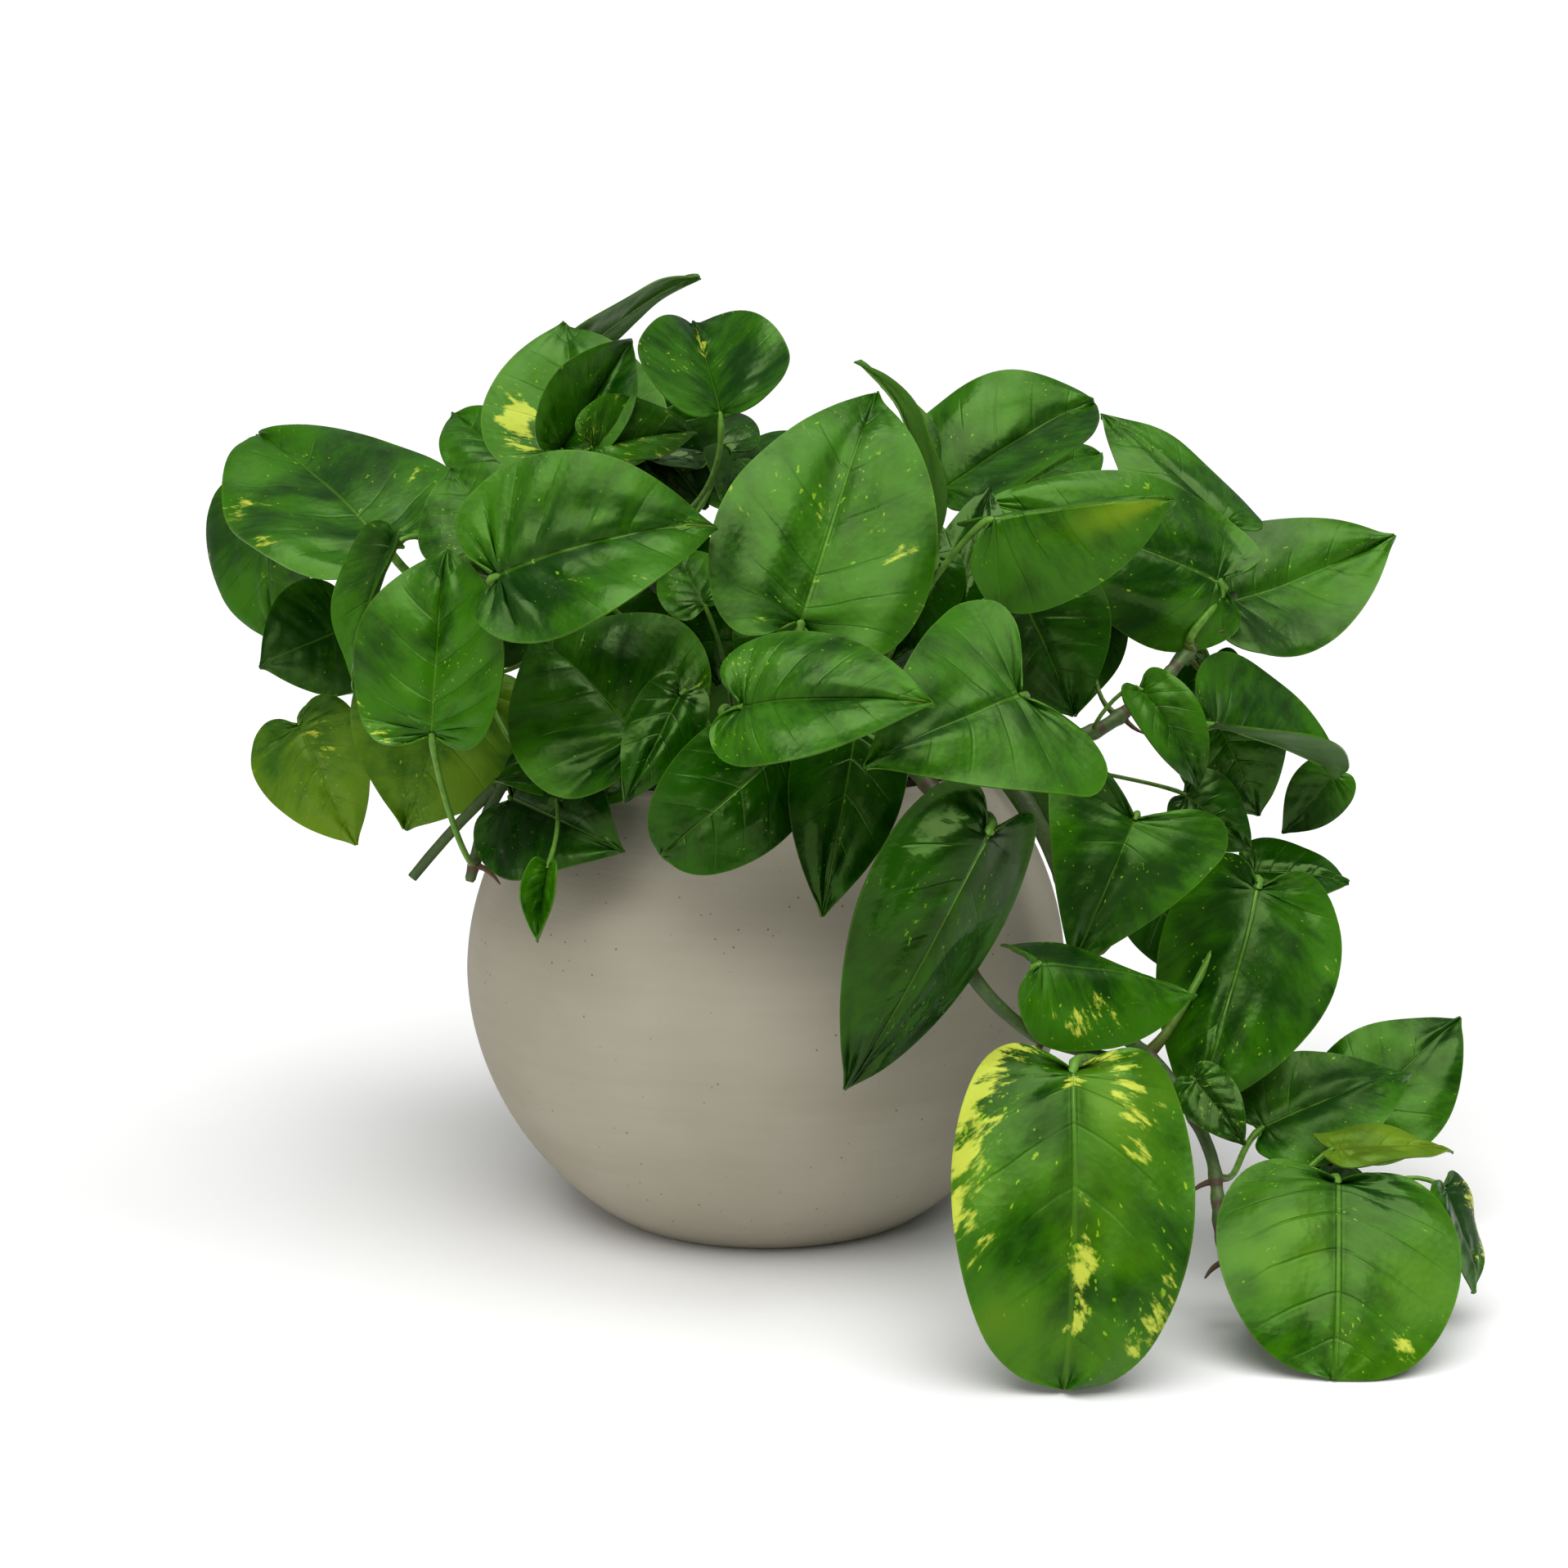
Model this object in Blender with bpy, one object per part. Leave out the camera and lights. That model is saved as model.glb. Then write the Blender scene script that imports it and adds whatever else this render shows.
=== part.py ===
"""Potted golden pothos in a round ceramic pot: metres, +Z up, origin at the centre of the pot's base.

The pot is a turned shell filled with potting soil. Vines rise from the soil, and every leaf is one body:
a heart-shaped blade with its petiole, which ends just short of the vine that it grew from.
"""

from math import cos, pi, radians, sin, sqrt

import bmesh
import bpy
from mathutils import Vector

# Pot: a turned body close to a sphere, cut flat at the base and open at the rim.
POT_RADIUS = 0.100
POT_HALF_HEIGHT = 0.099
POT_SHAPE = 1.92
BASE_RADIUS = 0.0544
RIM_RADIUS = 0.070
WALL = 0.005
FLOOR = 0.007
POT_SIDES = 32
POT_STATIONS = 9

# Soil
SOIL_DROP = 0.018
SOIL_CROWN = 0.004
SOIL_CELLS = 3

# Plant: its points are given for a pot of this radius and rim height, and follow the pot's.
PLANT_RADIUS = 0.100
PLANT_RIM = 0.15025748
GAP = 0.0004
BLADE = 0.0009
PETIOLE = 0.0016
VINE = 0.0028
BLADE_COLUMNS = 4
BLADE_SHARES = (0.0, 0.12, 0.30, 0.50, 0.70, 0.87, 1.0)
PETIOLE_SHARES = (0.12, 0.45, 1.0)
PETIOLE_STATIONS = len(PETIOLE_SHARES)

# Half outlines of a leaf: distance along the midrib and half width, as shares of length and half width.
HEART = ((-0.01, 0.05), (-0.10, 0.26), (-0.12, 0.50), (-0.05, 0.76), (0.09, 0.94), (0.25, 1.00),
         (0.42, 0.95), (0.58, 0.80), (0.73, 0.58), (0.86, 0.33), (0.95, 0.12), (1.00, 0.02))
OVAL = ((-0.01, 0.05), (-0.06, 0.30), (-0.07, 0.55), (-0.01, 0.77), (0.12, 0.92), (0.29, 1.00),
        (0.46, 1.00), (0.62, 0.90), (0.76, 0.72), (0.88, 0.47), (0.96, 0.20), (1.00, 0.02))
ARROW = ((-0.01, 0.05), (-0.12, 0.30), (-0.20, 0.58), (-0.19, 0.86), (-0.04, 1.00), (0.16, 0.90),
         (0.34, 0.76), (0.52, 0.59), (0.69, 0.40), (0.84, 0.22), (0.95, 0.08), (1.00, 0.02))
BLUNT = ((-0.01, 0.05), (-0.06, 0.30), (-0.07, 0.55), (-0.01, 0.77), (0.12, 0.92), (0.29, 1.00),
         (0.46, 1.00), (0.62, 0.93), (0.77, 0.80), (0.89, 0.62), (0.97, 0.36), (1.00, 0.04))
OUTLINES = {"heart": HEART, "oval": OVAL, "arrow": ARROW, "blunt": BLUNT}

POT_CLAY = ((0.40, 0.36, 0.28), 0.72)
SOIL_EARTH = ((0.030, 0.020, 0.013), 0.95)
VINE_BARK = ((0.055, 0.085, 0.020), 0.55)
LEAF_GREEN = ((0.045, 0.160, 0.012), 0.35)
LEAF_DARK = ((0.015, 0.075, 0.010), 0.30)
LEAF_OLD = ((0.170, 0.190, 0.020), 0.45)

# Vines: points from the soil surface outwards. The first point's height is set from the soil.
VINES = {
    "vine_left_trailing": ((-0.036, -0.018, 0), (-0.040, -0.022, 0.145), (-0.053, -0.034, 0.162),
                           (-0.072, -0.046, 0.162), (-0.085, -0.053, 0.145), (-0.092, -0.057, 0.121)),
    "vine_left_rising": ((-0.022, 0.004, 0), (-0.028, 0.002, 0.150), (-0.050, -0.008, 0.180),
                         (-0.080, -0.018, 0.196), (-0.110, -0.016, 0.200), (-0.135, -0.004, 0.205)),
    "vine_crown": ((-0.020, 0.024, 0), (-0.025, 0.026, 0.160), (-0.036, 0.024, 0.200),
                   (-0.042, 0.018, 0.230)),
    "vine_front": ((-0.006, -0.026, 0), (-0.008, -0.034, 0.148), (-0.010, -0.056, 0.168),
                   (-0.008, -0.084, 0.164), (-0.004, -0.098, 0.146)),
    "vine_middle": ((0.012, 0.006, 0), (0.016, 0.004, 0.160), (0.030, 0.000, 0.190),
                    (0.050, 0.002, 0.212), (0.064, 0.006, 0.226)),
    "vine_right_rising": ((0.034, 0.006, 0), (0.046, 0.004, 0.148), (0.072, -0.010, 0.161),
                          (0.101, -0.024, 0.162), (0.122, -0.012, 0.172), (0.140, 0.000, 0.187),
                          (0.156, 0.010, 0.205)),
    "vine_right_trailing": ((0.034, -0.018, 0), (0.040, -0.024, 0.146), (0.058, -0.038, 0.160),
                            (0.078, -0.052, 0.150), (0.092, -0.060, 0.124), (0.100, -0.062, 0.100),
                            (0.106, -0.066, 0.080), (0.122, -0.084, 0.067), (0.134, -0.098, 0.046),
                            (0.136, -0.114, 0.022), (0.146, -0.126, 0.008)),
    "vine_front_trailing": ((0.018, -0.030, 0), (0.022, -0.036, 0.146), (0.036, -0.056, 0.162),
                            (0.052, -0.084, 0.152), (0.056, -0.106, 0.130), (0.059, -0.114, 0.108),
                            (0.076, -0.118, 0.090), (0.096, -0.116, 0.082), (0.118, -0.106, 0.074)),
    "vine_back": ((0.006, 0.032, 0), (0.006, 0.036, 0.150), (0.014, 0.060, 0.172),
                  (0.026, 0.088, 0.162), (0.034, 0.108, 0.126), (0.038, 0.116, 0.090)),
}

# Leaves: vine and place along it, base of the blade, tip, the way the face looks, width and finish. fold is
# the angle of each half at the midrib and at its edge (left pair, then right pair where they differ, seen
# on the face with the tip up); arch and hook bend the midrib as shares of the length.
LEAVES = {
    "leaf_crown_back": dict(vine="vine_crown", at=0.80, base=(-0.069, 0.080, 0.285),
                            tip=(-0.026, 0.092, 0.314), face=(-0.3, 0.45, 1.0), width=0.028),
    "leaf_crown_round": dict(vine="vine_crown", at=0.62, base=(-0.063, 0.022, 0.250),
                             tip=(-0.069, 0.050, 0.296), face=(0.05, -0.85, 0.5), width=0.063, fold=(8, -8)),
    "leaf_crown_narrow": dict(vine="vine_crown", at=0.70, base=(-0.066, -0.002, 0.253),
                              tip=(-0.044, 0.018, 0.289), face=(0.3, -0.8, 0.5), width=0.036, fold=(55, 20)),
    "leaf_crown_heart": dict(vine="vine_crown", at=0.98, base=(-0.014, -0.030, 0.265),
                             tip=(-0.024, 0.012, 0.296), face=(0.1, -0.8, 0.6), width=0.054, fold=(34, 24)),
    "leaf_crown_dark": dict(vine="vine_crown", at=0.90, base=(-0.019, 0.040, 0.250),
                            tip=(-0.043, 0.082, 0.268), face=(0.0, -0.5, 0.9), width=0.045, finish="dark"),
    "leaf_left_top": dict(vine="vine_left_rising", at=0.80, base=(-0.119, -0.040, 0.226),
                          tip=(-0.172, 0.030, 0.259), face=(-0.1, -0.45, 0.9), width=0.074, fold=(10, -14)),
    "leaf_left_back": dict(vine="vine_left_rising", at=0.66, base=(-0.081, -0.064, 0.227),
                           tip=(-0.097, -0.046, 0.249), face=(-0.1, -0.9, 0.5), width=0.042),
    "leaf_left_drooping": dict(vine="vine_left_rising", at=0.98, base=(-0.168, 0.027, 0.240),
                               tip=(-0.164, 0.007, 0.189), face=(-0.6, -0.8, 0.1), width=0.062),
    "leaf_left_bright": dict(vine="vine_left_rising", at=0.88, base=(-0.137, -0.006, 0.195),
                             tip=(-0.164, -0.016, 0.184), face=(-0.1, -0.92, 0.38), width=0.044),
    "leaf_left_narrow": dict(vine="vine_left_rising", at=0.76, base=(-0.112, -0.060, 0.226),
                             tip=(-0.127, -0.062, 0.182), face=(-0.7, -0.7, 0.0), width=0.026,
                             fold=(50, 30)),
    "leaf_front_ribbed": dict(vine="vine_left_rising", at=0.58, base=(-0.078, -0.092, 0.219),
                              tip=(-0.014, -0.086, 0.235), face=(0.0, -0.9, 0.45), width=0.066,
                              fold=(8, -8, 24, 28), arch=0.08, hook=0.1, ease=0.2),
    "leaf_left_front": dict(vine="vine_left_trailing", at=0.96, base=(-0.098, -0.090, 0.172),
                            tip=(-0.094, -0.079, 0.226), face=(-0.1, -1.0, 0.1), width=0.050,
                            fold=(8, -8, 22, 30), shape="oval", leave=(-0.2, -0.7, -0.7)),
    "leaf_front_folded": dict(vine="vine_front", at=0.55, base=(-0.036, -0.088, 0.170),
                              tip=(-0.071, -0.054, 0.199), face=(0.1, -0.8, 0.6), width=0.066,
                              fold=(-5, -15, 25, 10), arch=0.06),
    "leaf_left_low": dict(vine="vine_left_trailing", at=0.58, base=(-0.078, -0.066, 0.149),
                          tip=(-0.043, -0.096, 0.139), face=(0.0, -0.95, 0.3), width=0.046, finish="dark"),
    "leaf_left_olive": dict(vine="vine_left_trailing", at=0.70, base=(-0.097, -0.026, 0.181),
                            tip=(-0.116, -0.033, 0.133), face=(-0.1, -1.0, 0.2), width=0.064, finish="old"),
    "leaf_left_olive_outer": dict(vine="vine_left_rising", at=0.62, base=(-0.153, -0.010, 0.164),
                                  tip=(-0.134, -0.022, 0.126), face=(-0.3, -1.0, 0.2), width=0.042,
                                  finish="old"),
    "leaf_middle_large": dict(vine="vine_middle", at=0.55, base=(0.011, -0.080, 0.204),
                              tip=(0.035, -0.030, 0.273), face=(0.1, -0.8, 0.5), width=0.068,
                              fold=(14, -10), arch=0.05),
    "leaf_middle_rolled": dict(vine="vine_middle", at=0.85, base=(0.046, -0.046, 0.223),
                               tip=(0.032, -0.020, 0.282), face=(1.0, -0.2, 0.2), width=0.020,
                               fold=(58, 58), arch=0.12),
    "leaf_middle_glossy": dict(vine="vine_middle", at=0.70, base=(0.057, -0.040, 0.194),
                               tip=(0.073, -0.012, 0.243), face=(0.1, -0.8, 0.4), width=0.028,
                               finish="dark"),
    "leaf_right_top": dict(vine="vine_middle", at=0.97, base=(0.059, 0.030, 0.238),
                           tip=(0.113, 0.050, 0.270), face=(-0.2, -0.8, 0.5), width=0.060,
                           fold=(8, -8, 25, 40), shape="oval"),
    "leaf_right_far_top": dict(vine="vine_right_rising", at=0.97, base=(0.157, 0.030, 0.227),
                               tip=(0.117, 0.060, 0.265), face=(0.0, -0.8, 0.5), width=0.040,
                               fold=(10, -10, -20, -50)),
    "leaf_right_broad": dict(vine="vine_right_rising", at=0.86, base=(0.150, 0.000, 0.210),
                             tip=(0.071, 0.000, 0.238), face=(0.0, -0.8, 0.6), width=0.055,
                             fold=(-15, -50, 10, -12)),
    "leaf_right_spotted": dict(vine="vine_front_trailing", at=0.30, base=(0.067, -0.078, 0.235),
                               tip=(0.123, -0.070, 0.241), face=(0, -0.75, 0.6), width=0.064, ease=0.15,
                               fold=(-50, -75, -38, -66)),
    "leaf_right_outer": dict(vine="vine_right_rising", at=0.90, base=(0.157, 0.030, 0.201),
                             tip=(0.219, 0.050, 0.223), face=(0.0, -0.8, 0.6), width=0.056, arch=-0.08),
    "leaf_right_arching": dict(vine="vine_right_rising", at=0.60, base=(0.120, -0.030, 0.178),
                               tip=(0.139, -0.034, 0.146), face=(0.3, -0.9, 0.2), width=0.024,
                               fold=(20, 20), arch=0.12),
    "leaf_right_hanging": dict(vine="vine_right_rising", at=0.80, base=(0.160, 0.076, 0.174),
                               tip=(0.157, 0.074, 0.124), face=(0.3, -1.0, 0.0), width=0.030, finish="dark"),
    "leaf_right_level": dict(vine="vine_right_rising", at=0.72, base=(0.147, -0.010, 0.164),
                             tip=(0.197, 0.020, 0.143), face=(0.1, -0.8, 0.6), width=0.060,
                             fold=(5, -5, 55, 70)),
    "leaf_front_crest": dict(vine="vine_front", at=0.72, base=(-0.006, -0.130, 0.186),
                             tip=(0.046, -0.146, 0.190), face=(0.0, -0.7, 0.7), width=0.050, fold=(25, -20)),
    "leaf_front_oval": dict(vine="vine_front", at=0.93, base=(0.006, -0.106, 0.170),
                            tip=(-0.029, -0.117, 0.141), face=(0.0, -1.0, 0.1), width=0.039, finish="dark",
                            shape="blunt"),
    "leaf_front_slim": dict(vine="vine_front", at=0.84, base=(-0.024, -0.096, 0.185),
                            tip=(-0.040, -0.108, 0.155), face=(0.0, -1.0, 0.1), width=0.022, finish="dark"),
    "leaf_front_hanging": dict(vine="vine_front", at=0.98, base=(0.027, -0.106, 0.177),
                               tip=(0.017, -0.124, 0.125), face=(0.0, -1.0, 0.1), width=0.034,
                               finish="dark"),
    "leaf_front_heart": dict(vine="vine_front_trailing", at=0.42, base=(0.074, -0.112, 0.187),
                             tip=(0.029, -0.136, 0.171), face=(0.1, -0.8, 0.6), width=0.072, fold=(8, -15),
                             shape="arrow"),
    "leaf_front_drooping": dict(vine="vine_front_trailing", at=0.50, base=(0.064, -0.128, 0.150),
                                tip=(0.024, -0.140, 0.077), face=(0.1, -1.0, 0.15), width=0.052,
                                fold=(-30, -60, 12, -20), finish="dark", hook=0.1),
    "leaf_right_star": dict(vine="vine_right_trailing", at=0.55, base=(0.112, -0.078, 0.145),
                            tip=(0.092, -0.092, 0.102), face=(0.1, -0.95, 0.3), width=0.058, shape="arrow"),
    "leaf_right_low": dict(vine="vine_right_trailing", at=0.70, base=(0.154, -0.058, 0.120),
                           tip=(0.131, -0.088, 0.055), face=(0.1, -1.0, 0.2), width=0.064,
                           fold=(5, -15, -40, -65)),
    "leaf_right_wide": dict(vine="vine_front_trailing", at=0.80, base=(0.079, -0.122, 0.111),
                            tip=(0.128, -0.104, 0.098), face=(0.0, -0.5, 0.85), width=0.050,
                            fold=(-25, -35, -30, -50)),
    "leaf_floor_variegated": dict(vine="vine_front_trailing", at=0.92, base=(0.087, -0.142, 0.085),
                                  tip=(0.083, -0.172, 0.003), face=(0.0, -1.0, 0.25), width=0.067,
                                  fold=(10, -18), arch=0.1, shape="blunt"),
    "leaf_floor_round": dict(vine="vine_right_trailing", at=0.92, base=(0.167, -0.122, 0.046),
                             tip=(0.159, -0.162, 0.003), face=(0.0, -0.75, 0.65), width=0.069,
                             fold=(6, -12), shape="blunt"),
    "leaf_floor_grey": dict(vine="vine_right_trailing", at=0.84, base=(0.154, -0.074, 0.047),
                            tip=(0.205, -0.054, 0.060), face=(-0.1, -0.6, 0.7), width=0.040),
    "leaf_floor_back": dict(vine="vine_right_trailing", at=0.86, base=(0.190, -0.034, 0.034),
                            tip=(0.231, -0.014, 0.067), face=(-0.3, -0.8, 0.5), width=0.045),
    "leaf_floor_pale": dict(vine="vine_right_trailing", at=0.88, base=(0.172, -0.092, 0.046),
                            tip=(0.211, -0.084, 0.044), face=(0.0, -0.3, 1.0), width=0.020),
    "leaf_floor_outer": dict(vine="vine_right_trailing", at=0.97, base=(0.201, -0.112, 0.040),
                             tip=(0.210, -0.120, 0.011), face=(0.8, -0.5, 0.2), width=0.030),
    "leaf_right_glossy": dict(vine="vine_right_trailing", at=0.46, base=(0.159, -0.020, 0.117),
                              tip=(0.191, -0.020, 0.114), face=(0.0, -0.6, 0.8), width=0.030, fold=(8, -10),
                              finish="dark"),
    "leaf_right_cupped": dict(vine="vine_right_rising", at=0.66, base=(0.110, 0.022, 0.203),
                              tip=(0.103, 0.006, 0.165), face=(-0.3, -1.0, 0.2), width=0.030,
                              fold=(-20, -40), finish="dark"),
    "leaf_back_high": dict(vine="vine_back", at=0.40, base=(0.020, 0.080, 0.215), tip=(0.035, 0.125, 0.262),
                           face=(0.1, 0.7, 0.7), width=0.070),
    "leaf_back_left": dict(vine="vine_left_rising", at=0.34, base=(-0.060, 0.075, 0.195),
                           tip=(-0.115, 0.118, 0.215), face=(-0.3, 0.7, 0.6), width=0.065),
    "leaf_back_right": dict(vine="vine_back", at=0.55, base=(0.085, 0.080, 0.190),
                            tip=(0.135, 0.115, 0.205), face=(0.3, 0.7, 0.6), width=0.065),
    "leaf_back_drooping": dict(vine="vine_back", at=0.74, base=(0.000, 0.118, 0.165),
                               tip=(-0.015, 0.140, 0.085), face=(0.0, 1.0, 0.2), width=0.060),
    "leaf_back_low": dict(vine="vine_back", at=0.92, base=(0.066, 0.116, 0.128), tip=(0.090, 0.135, 0.060),
                          face=(0.2, 1.0, 0.1), width=0.058, finish="dark"),
}


def mix(a, b, t):
    return a + (b - a) * t


def on_curve(points, t):
    """Point at share t along a Catmull-Rom curve through the points."""
    count = len(points) - 1
    k = min(int(t * count), count - 1)
    u = t * count - k
    p1, p2 = points[k], points[k + 1]
    p0 = points[k - 1] if k else [2 * b - c for b, c in zip(p1, p2)]
    p3 = points[k + 2] if k + 2 <= count else [2 * c - b for b, c in zip(p1, p2)]
    return [0.5 * (2 * b + (c - a) * u + (2 * a - 5 * b + 4 * c - d) * u * u
                   + (3 * b - a - 3 * c + d) * u ** 3) for a, b, c, d in zip(p0, p1, p2, p3)]


def pot_height(radius, side):
    """Height of the pot's outer surface at a radius; side is 1 above the widest ring, -1 below."""
    share = max(1 - (radius / POT_RADIUS) ** POT_SHAPE, 0) ** (1 / POT_SHAPE)
    return POT_HALF_HEIGHT * side * share


WIDEST = -pot_height(BASE_RADIUS, -1)
RIM_TOP = WIDEST + pot_height(RIM_RADIUS, 1)
SOIL_TOP = RIM_TOP - SOIL_DROP


def placed(point):
    """A plant's point, moved with the pot's width and height."""
    x, y, z = point
    across = POT_RADIUS / PLANT_RADIUS
    return Vector((x * across, y * across, z * RIM_TOP / PLANT_RIM))


def shell_radius(z, inset=0.0):
    """Radius of the pot's outer surface at height z, less an inset."""
    share = min(abs(z - WIDEST) / POT_HALF_HEIGHT, 1)
    return POT_RADIUS * (1 - share ** POT_SHAPE) ** (1 / POT_SHAPE) - inset


def material(name, finish):
    colour, roughness = finish
    found = bpy.data.materials.get(name)
    if found:
        return found
    made = bpy.data.materials.new(name)
    made.use_nodes = True
    shader = made.node_tree.nodes["Principled BSDF"]
    shader.inputs["Base Color"].default_value = (*colour, 1.0)
    shader.inputs["Roughness"].default_value = roughness
    shader.inputs["Metallic"].default_value = 0.0
    return made


def place(name, bm, finish, parent, smooth=40):
    """Turn a bmesh into a named object with its own material."""
    bmesh.ops.recalc_face_normals(bm, faces=bm.faces)
    mesh = bpy.data.meshes.new(name)
    bm.to_mesh(mesh)
    bm.free()
    mesh.materials.append(material(name, finish))
    mesh.shade_smooth()
    mesh.set_sharp_from_angle(angle=radians(smooth))
    made = bpy.data.objects.new(name, mesh)
    bpy.context.scene.collection.objects.link(made)
    made.parent = parent
    return made


def turned(profile, sides):
    """Spin a profile of (radius, height) points about Z; end points on the axis close the body."""
    bm = bmesh.new()
    verts = [bm.verts.new((r, 0, z)) for r, z in profile]
    edges = [bm.edges.new(pair) for pair in zip(verts, verts[1:])]
    bmesh.ops.spin(bm, geom=verts + edges, cent=(0, 0, 0), axis=(0, 0, 1), angle=2 * pi,
                   steps=sides, use_merge=True)
    bmesh.ops.remove_doubles(bm, verts=bm.verts, dist=0.00001)
    return bm


def pot(parent):
    low, high = 0.0, RIM_TOP - WALL / 2
    heights = [mix(low, high, k / POT_STATIONS) for k in range(POT_STATIONS + 1)]
    outer = [(shell_radius(z), z) for z in heights]
    lip = shell_radius(high) - WALL / 2
    crest = [(lip + WALL / 2 * cos(a), high + WALL / 2 * sin(a)) for a in (pi / 4, pi / 2, 3 * pi / 4)]
    inner = [(shell_radius(z, WALL), z) for z in reversed(heights) if z > FLOOR]
    bottom = shell_radius(FLOOR, WALL)
    profile = [(0, 0)] + outer + crest + inner + [(bottom, FLOOR), (0, FLOOR)]
    return place("pot", turned(profile, POT_SIDES), POT_CLAY, parent)


def soil(parent):
    low, high = FLOOR + GAP, SOIL_TOP
    cells = 7
    heights = [mix(low, high - SOIL_CROWN, k / cells) for k in range(cells + 1)]
    inset = WALL + 3 * GAP
    wall = [(shell_radius(z, inset), z) for z in heights]
    top = [(mix(wall[-1][0], 0, k / SOIL_CELLS), mix(wall[-1][1], high, sin(k / SOIL_CELLS * pi / 2)))
           for k in range(1, SOIL_CELLS + 1)]
    return place("potting_soil", turned([(0, low)] + wall + top, POT_SIDES // 2), SOIL_EARTH, parent)


def soil_height(x, y):
    """Height of the soil's domed surface at a point."""
    edge = shell_radius(SOIL_TOP - SOIL_CROWN, WALL + 3 * GAP)
    share = 1 - min(sqrt(x * x + y * y) / edge, 1)
    return SOIL_TOP - SOIL_CROWN + SOIL_CROWN * sin(share * pi / 2)


def vine_points(name):
    points = [placed(point) for point in VINES[name]]
    x, y, _ = points[0]
    start = soil_height(x, y) + 2 * GAP
    return [Vector((x, y, start)), Vector((x, y, start + 0.006))] + points[1:]


def vine(name, parent):
    points = vine_points(name)
    count = 3 * (len(points) - 1)
    curve = bpy.data.curves.new(name, "CURVE")
    curve.dimensions = "3D"
    curve.bevel_depth = VINE
    curve.bevel_resolution = 1
    curve.use_fill_caps = True
    curve.resolution_u = curve.render_resolution_u = 1
    spline = curve.splines.new("POLY")
    spline.points.add(count)
    for k in range(count + 1):
        spline.points[k].co = (*on_curve(points, k / count), 1)
    curve.materials.append(material(name, VINE_BARK))
    made = bpy.data.objects.new(name, curve)
    bpy.context.scene.collection.objects.link(made)
    made.parent = parent
    return made


class Blade:
    """Surface of one leaf: point(s, t) for s along the ribs' feet (0 base, 1 tip) and t from -1 to 1."""

    def __init__(self, spec):
        self.base = placed(spec["base"])
        run = placed(spec["tip"]) - self.base
        self.length = run.length
        self.along = run.normalized()
        face = Vector(spec["face"])
        self.face = (face - self.along * face.dot(self.along)).normalized()
        self.side = self.face.cross(self.along)
        self.half = spec["width"] / 2 * POT_RADIUS / PLANT_RADIUS
        self.outline = OUTLINES[spec.get("shape", "heart")]
        fold = spec.get("fold", (10, -10))
        self.folds = (fold[:2], fold[-2:])
        self.arch = spec.get("arch", 0.03) * self.length
        self.hook = spec.get("hook", 0.05) * self.length

    def lift(self, x):
        """Height of the midrib above the straight line from base to tip."""
        x = max(x, 0.0)
        return self.arch * 4 * x * (1 - x) - self.hook * max((x - 0.6) / 0.4, 0) ** 2

    def point(self, s, t):
        rim_x, rim_y = on_curve(self.outline, s)
        x = mix(s, rim_x, abs(t))
        first, last = self.folds[0 if t >= 0 else 1]
        reach, rise = 0.0, 0.0
        steps = 6
        out = abs(t) * rim_y * self.half
        for k in range(steps):
            angle = radians(mix(first, last, (k + 0.5) / steps * out / self.half))
            reach += out / steps * cos(angle)
            rise += out / steps * sin(angle)
        sign = 1 if t >= 0 else -1
        return (self.base + self.along * (x * self.length) + self.side * (sign * reach)
                + self.face * (self.lift(x) + rise))


def petiole_path(blade, spec):
    """Four control points from the blade's base to just clear of the vine."""
    points = vine_points(spec["vine"])
    place_on = Vector(on_curve(points, spec["at"]))
    ahead = Vector(on_curve(points, min(spec["at"] + 0.02, 1)))
    behind = Vector(on_curve(points, spec["at"] - 0.02))
    tangent = (ahead - behind).normalized()
    guide = Vector(spec.get("leave", blade.base - place_on))
    radial = (guide - tangent * guide.dot(tangent)).normalized()
    end = place_on + radial * (VINE + GAP)
    span = (end - blade.base).length
    out = (-blade.along * 0.75 - blade.face * 0.65).normalized()
    return (blade.base, blade.base + out * span * spec.get("ease", 0.35),
            end + radial * span * 0.30, end)


def bezier(points, t):
    a, b, c, d = points
    u = 1 - t
    return a * u ** 3 + b * (3 * u * u * t) + c * (3 * u * t * t) + d * t ** 3


def blade_ring(blade, s):
    """Ring of points around the blade at s: upper side from one edge to the other, then the lower side."""
    upper, lower = [], []
    step = 0.04
    for column in range(BLADE_COLUMNS + 1):
        t = column / BLADE_COLUMNS * 2 - 1
        here = blade.point(s, t)
        down = blade.point(min(s + step, 1), t) - blade.point(max(s - step, 0), t)
        across = blade.point(s, min(t + step, 1)) - blade.point(s, max(t - step, -1))
        normal = down.cross(across).normalized()
        if normal.dot(blade.face) < -0.2:
            normal.negate()
        upper.append(here + normal * BLADE / 2)
        lower.append(here - normal * BLADE / 2)
    return upper + lower[::-1]


def leaf_rings(blade, path):
    """Rings from the petiole's free end to the leaf's tip."""
    count = 2 * (BLADE_COLUMNS + 1)
    angles = [pi - (k + 0.5) * 2 * pi / count for k in range(count)]
    rings = []
    side, face = blade.side.copy(), blade.face.copy()
    heading = -blade.along
    for k in range(1, PETIOLE_STATIONS + 1):
        share = PETIOLE_SHARES[k - 1]
        centre = bezier(path, share)
        turned_to = (bezier(path, share) - bezier(path, share - 0.03)).normalized()
        turn = heading.rotation_difference(turned_to)
        side.rotate(turn)
        face.rotate(turn)
        heading = turned_to
        rings.insert(0, [centre + (side * cos(a) + face * sin(a)) * PETIOLE for a in angles])
    return rings + [blade_ring(blade, s) for s in BLADE_SHARES]


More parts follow.
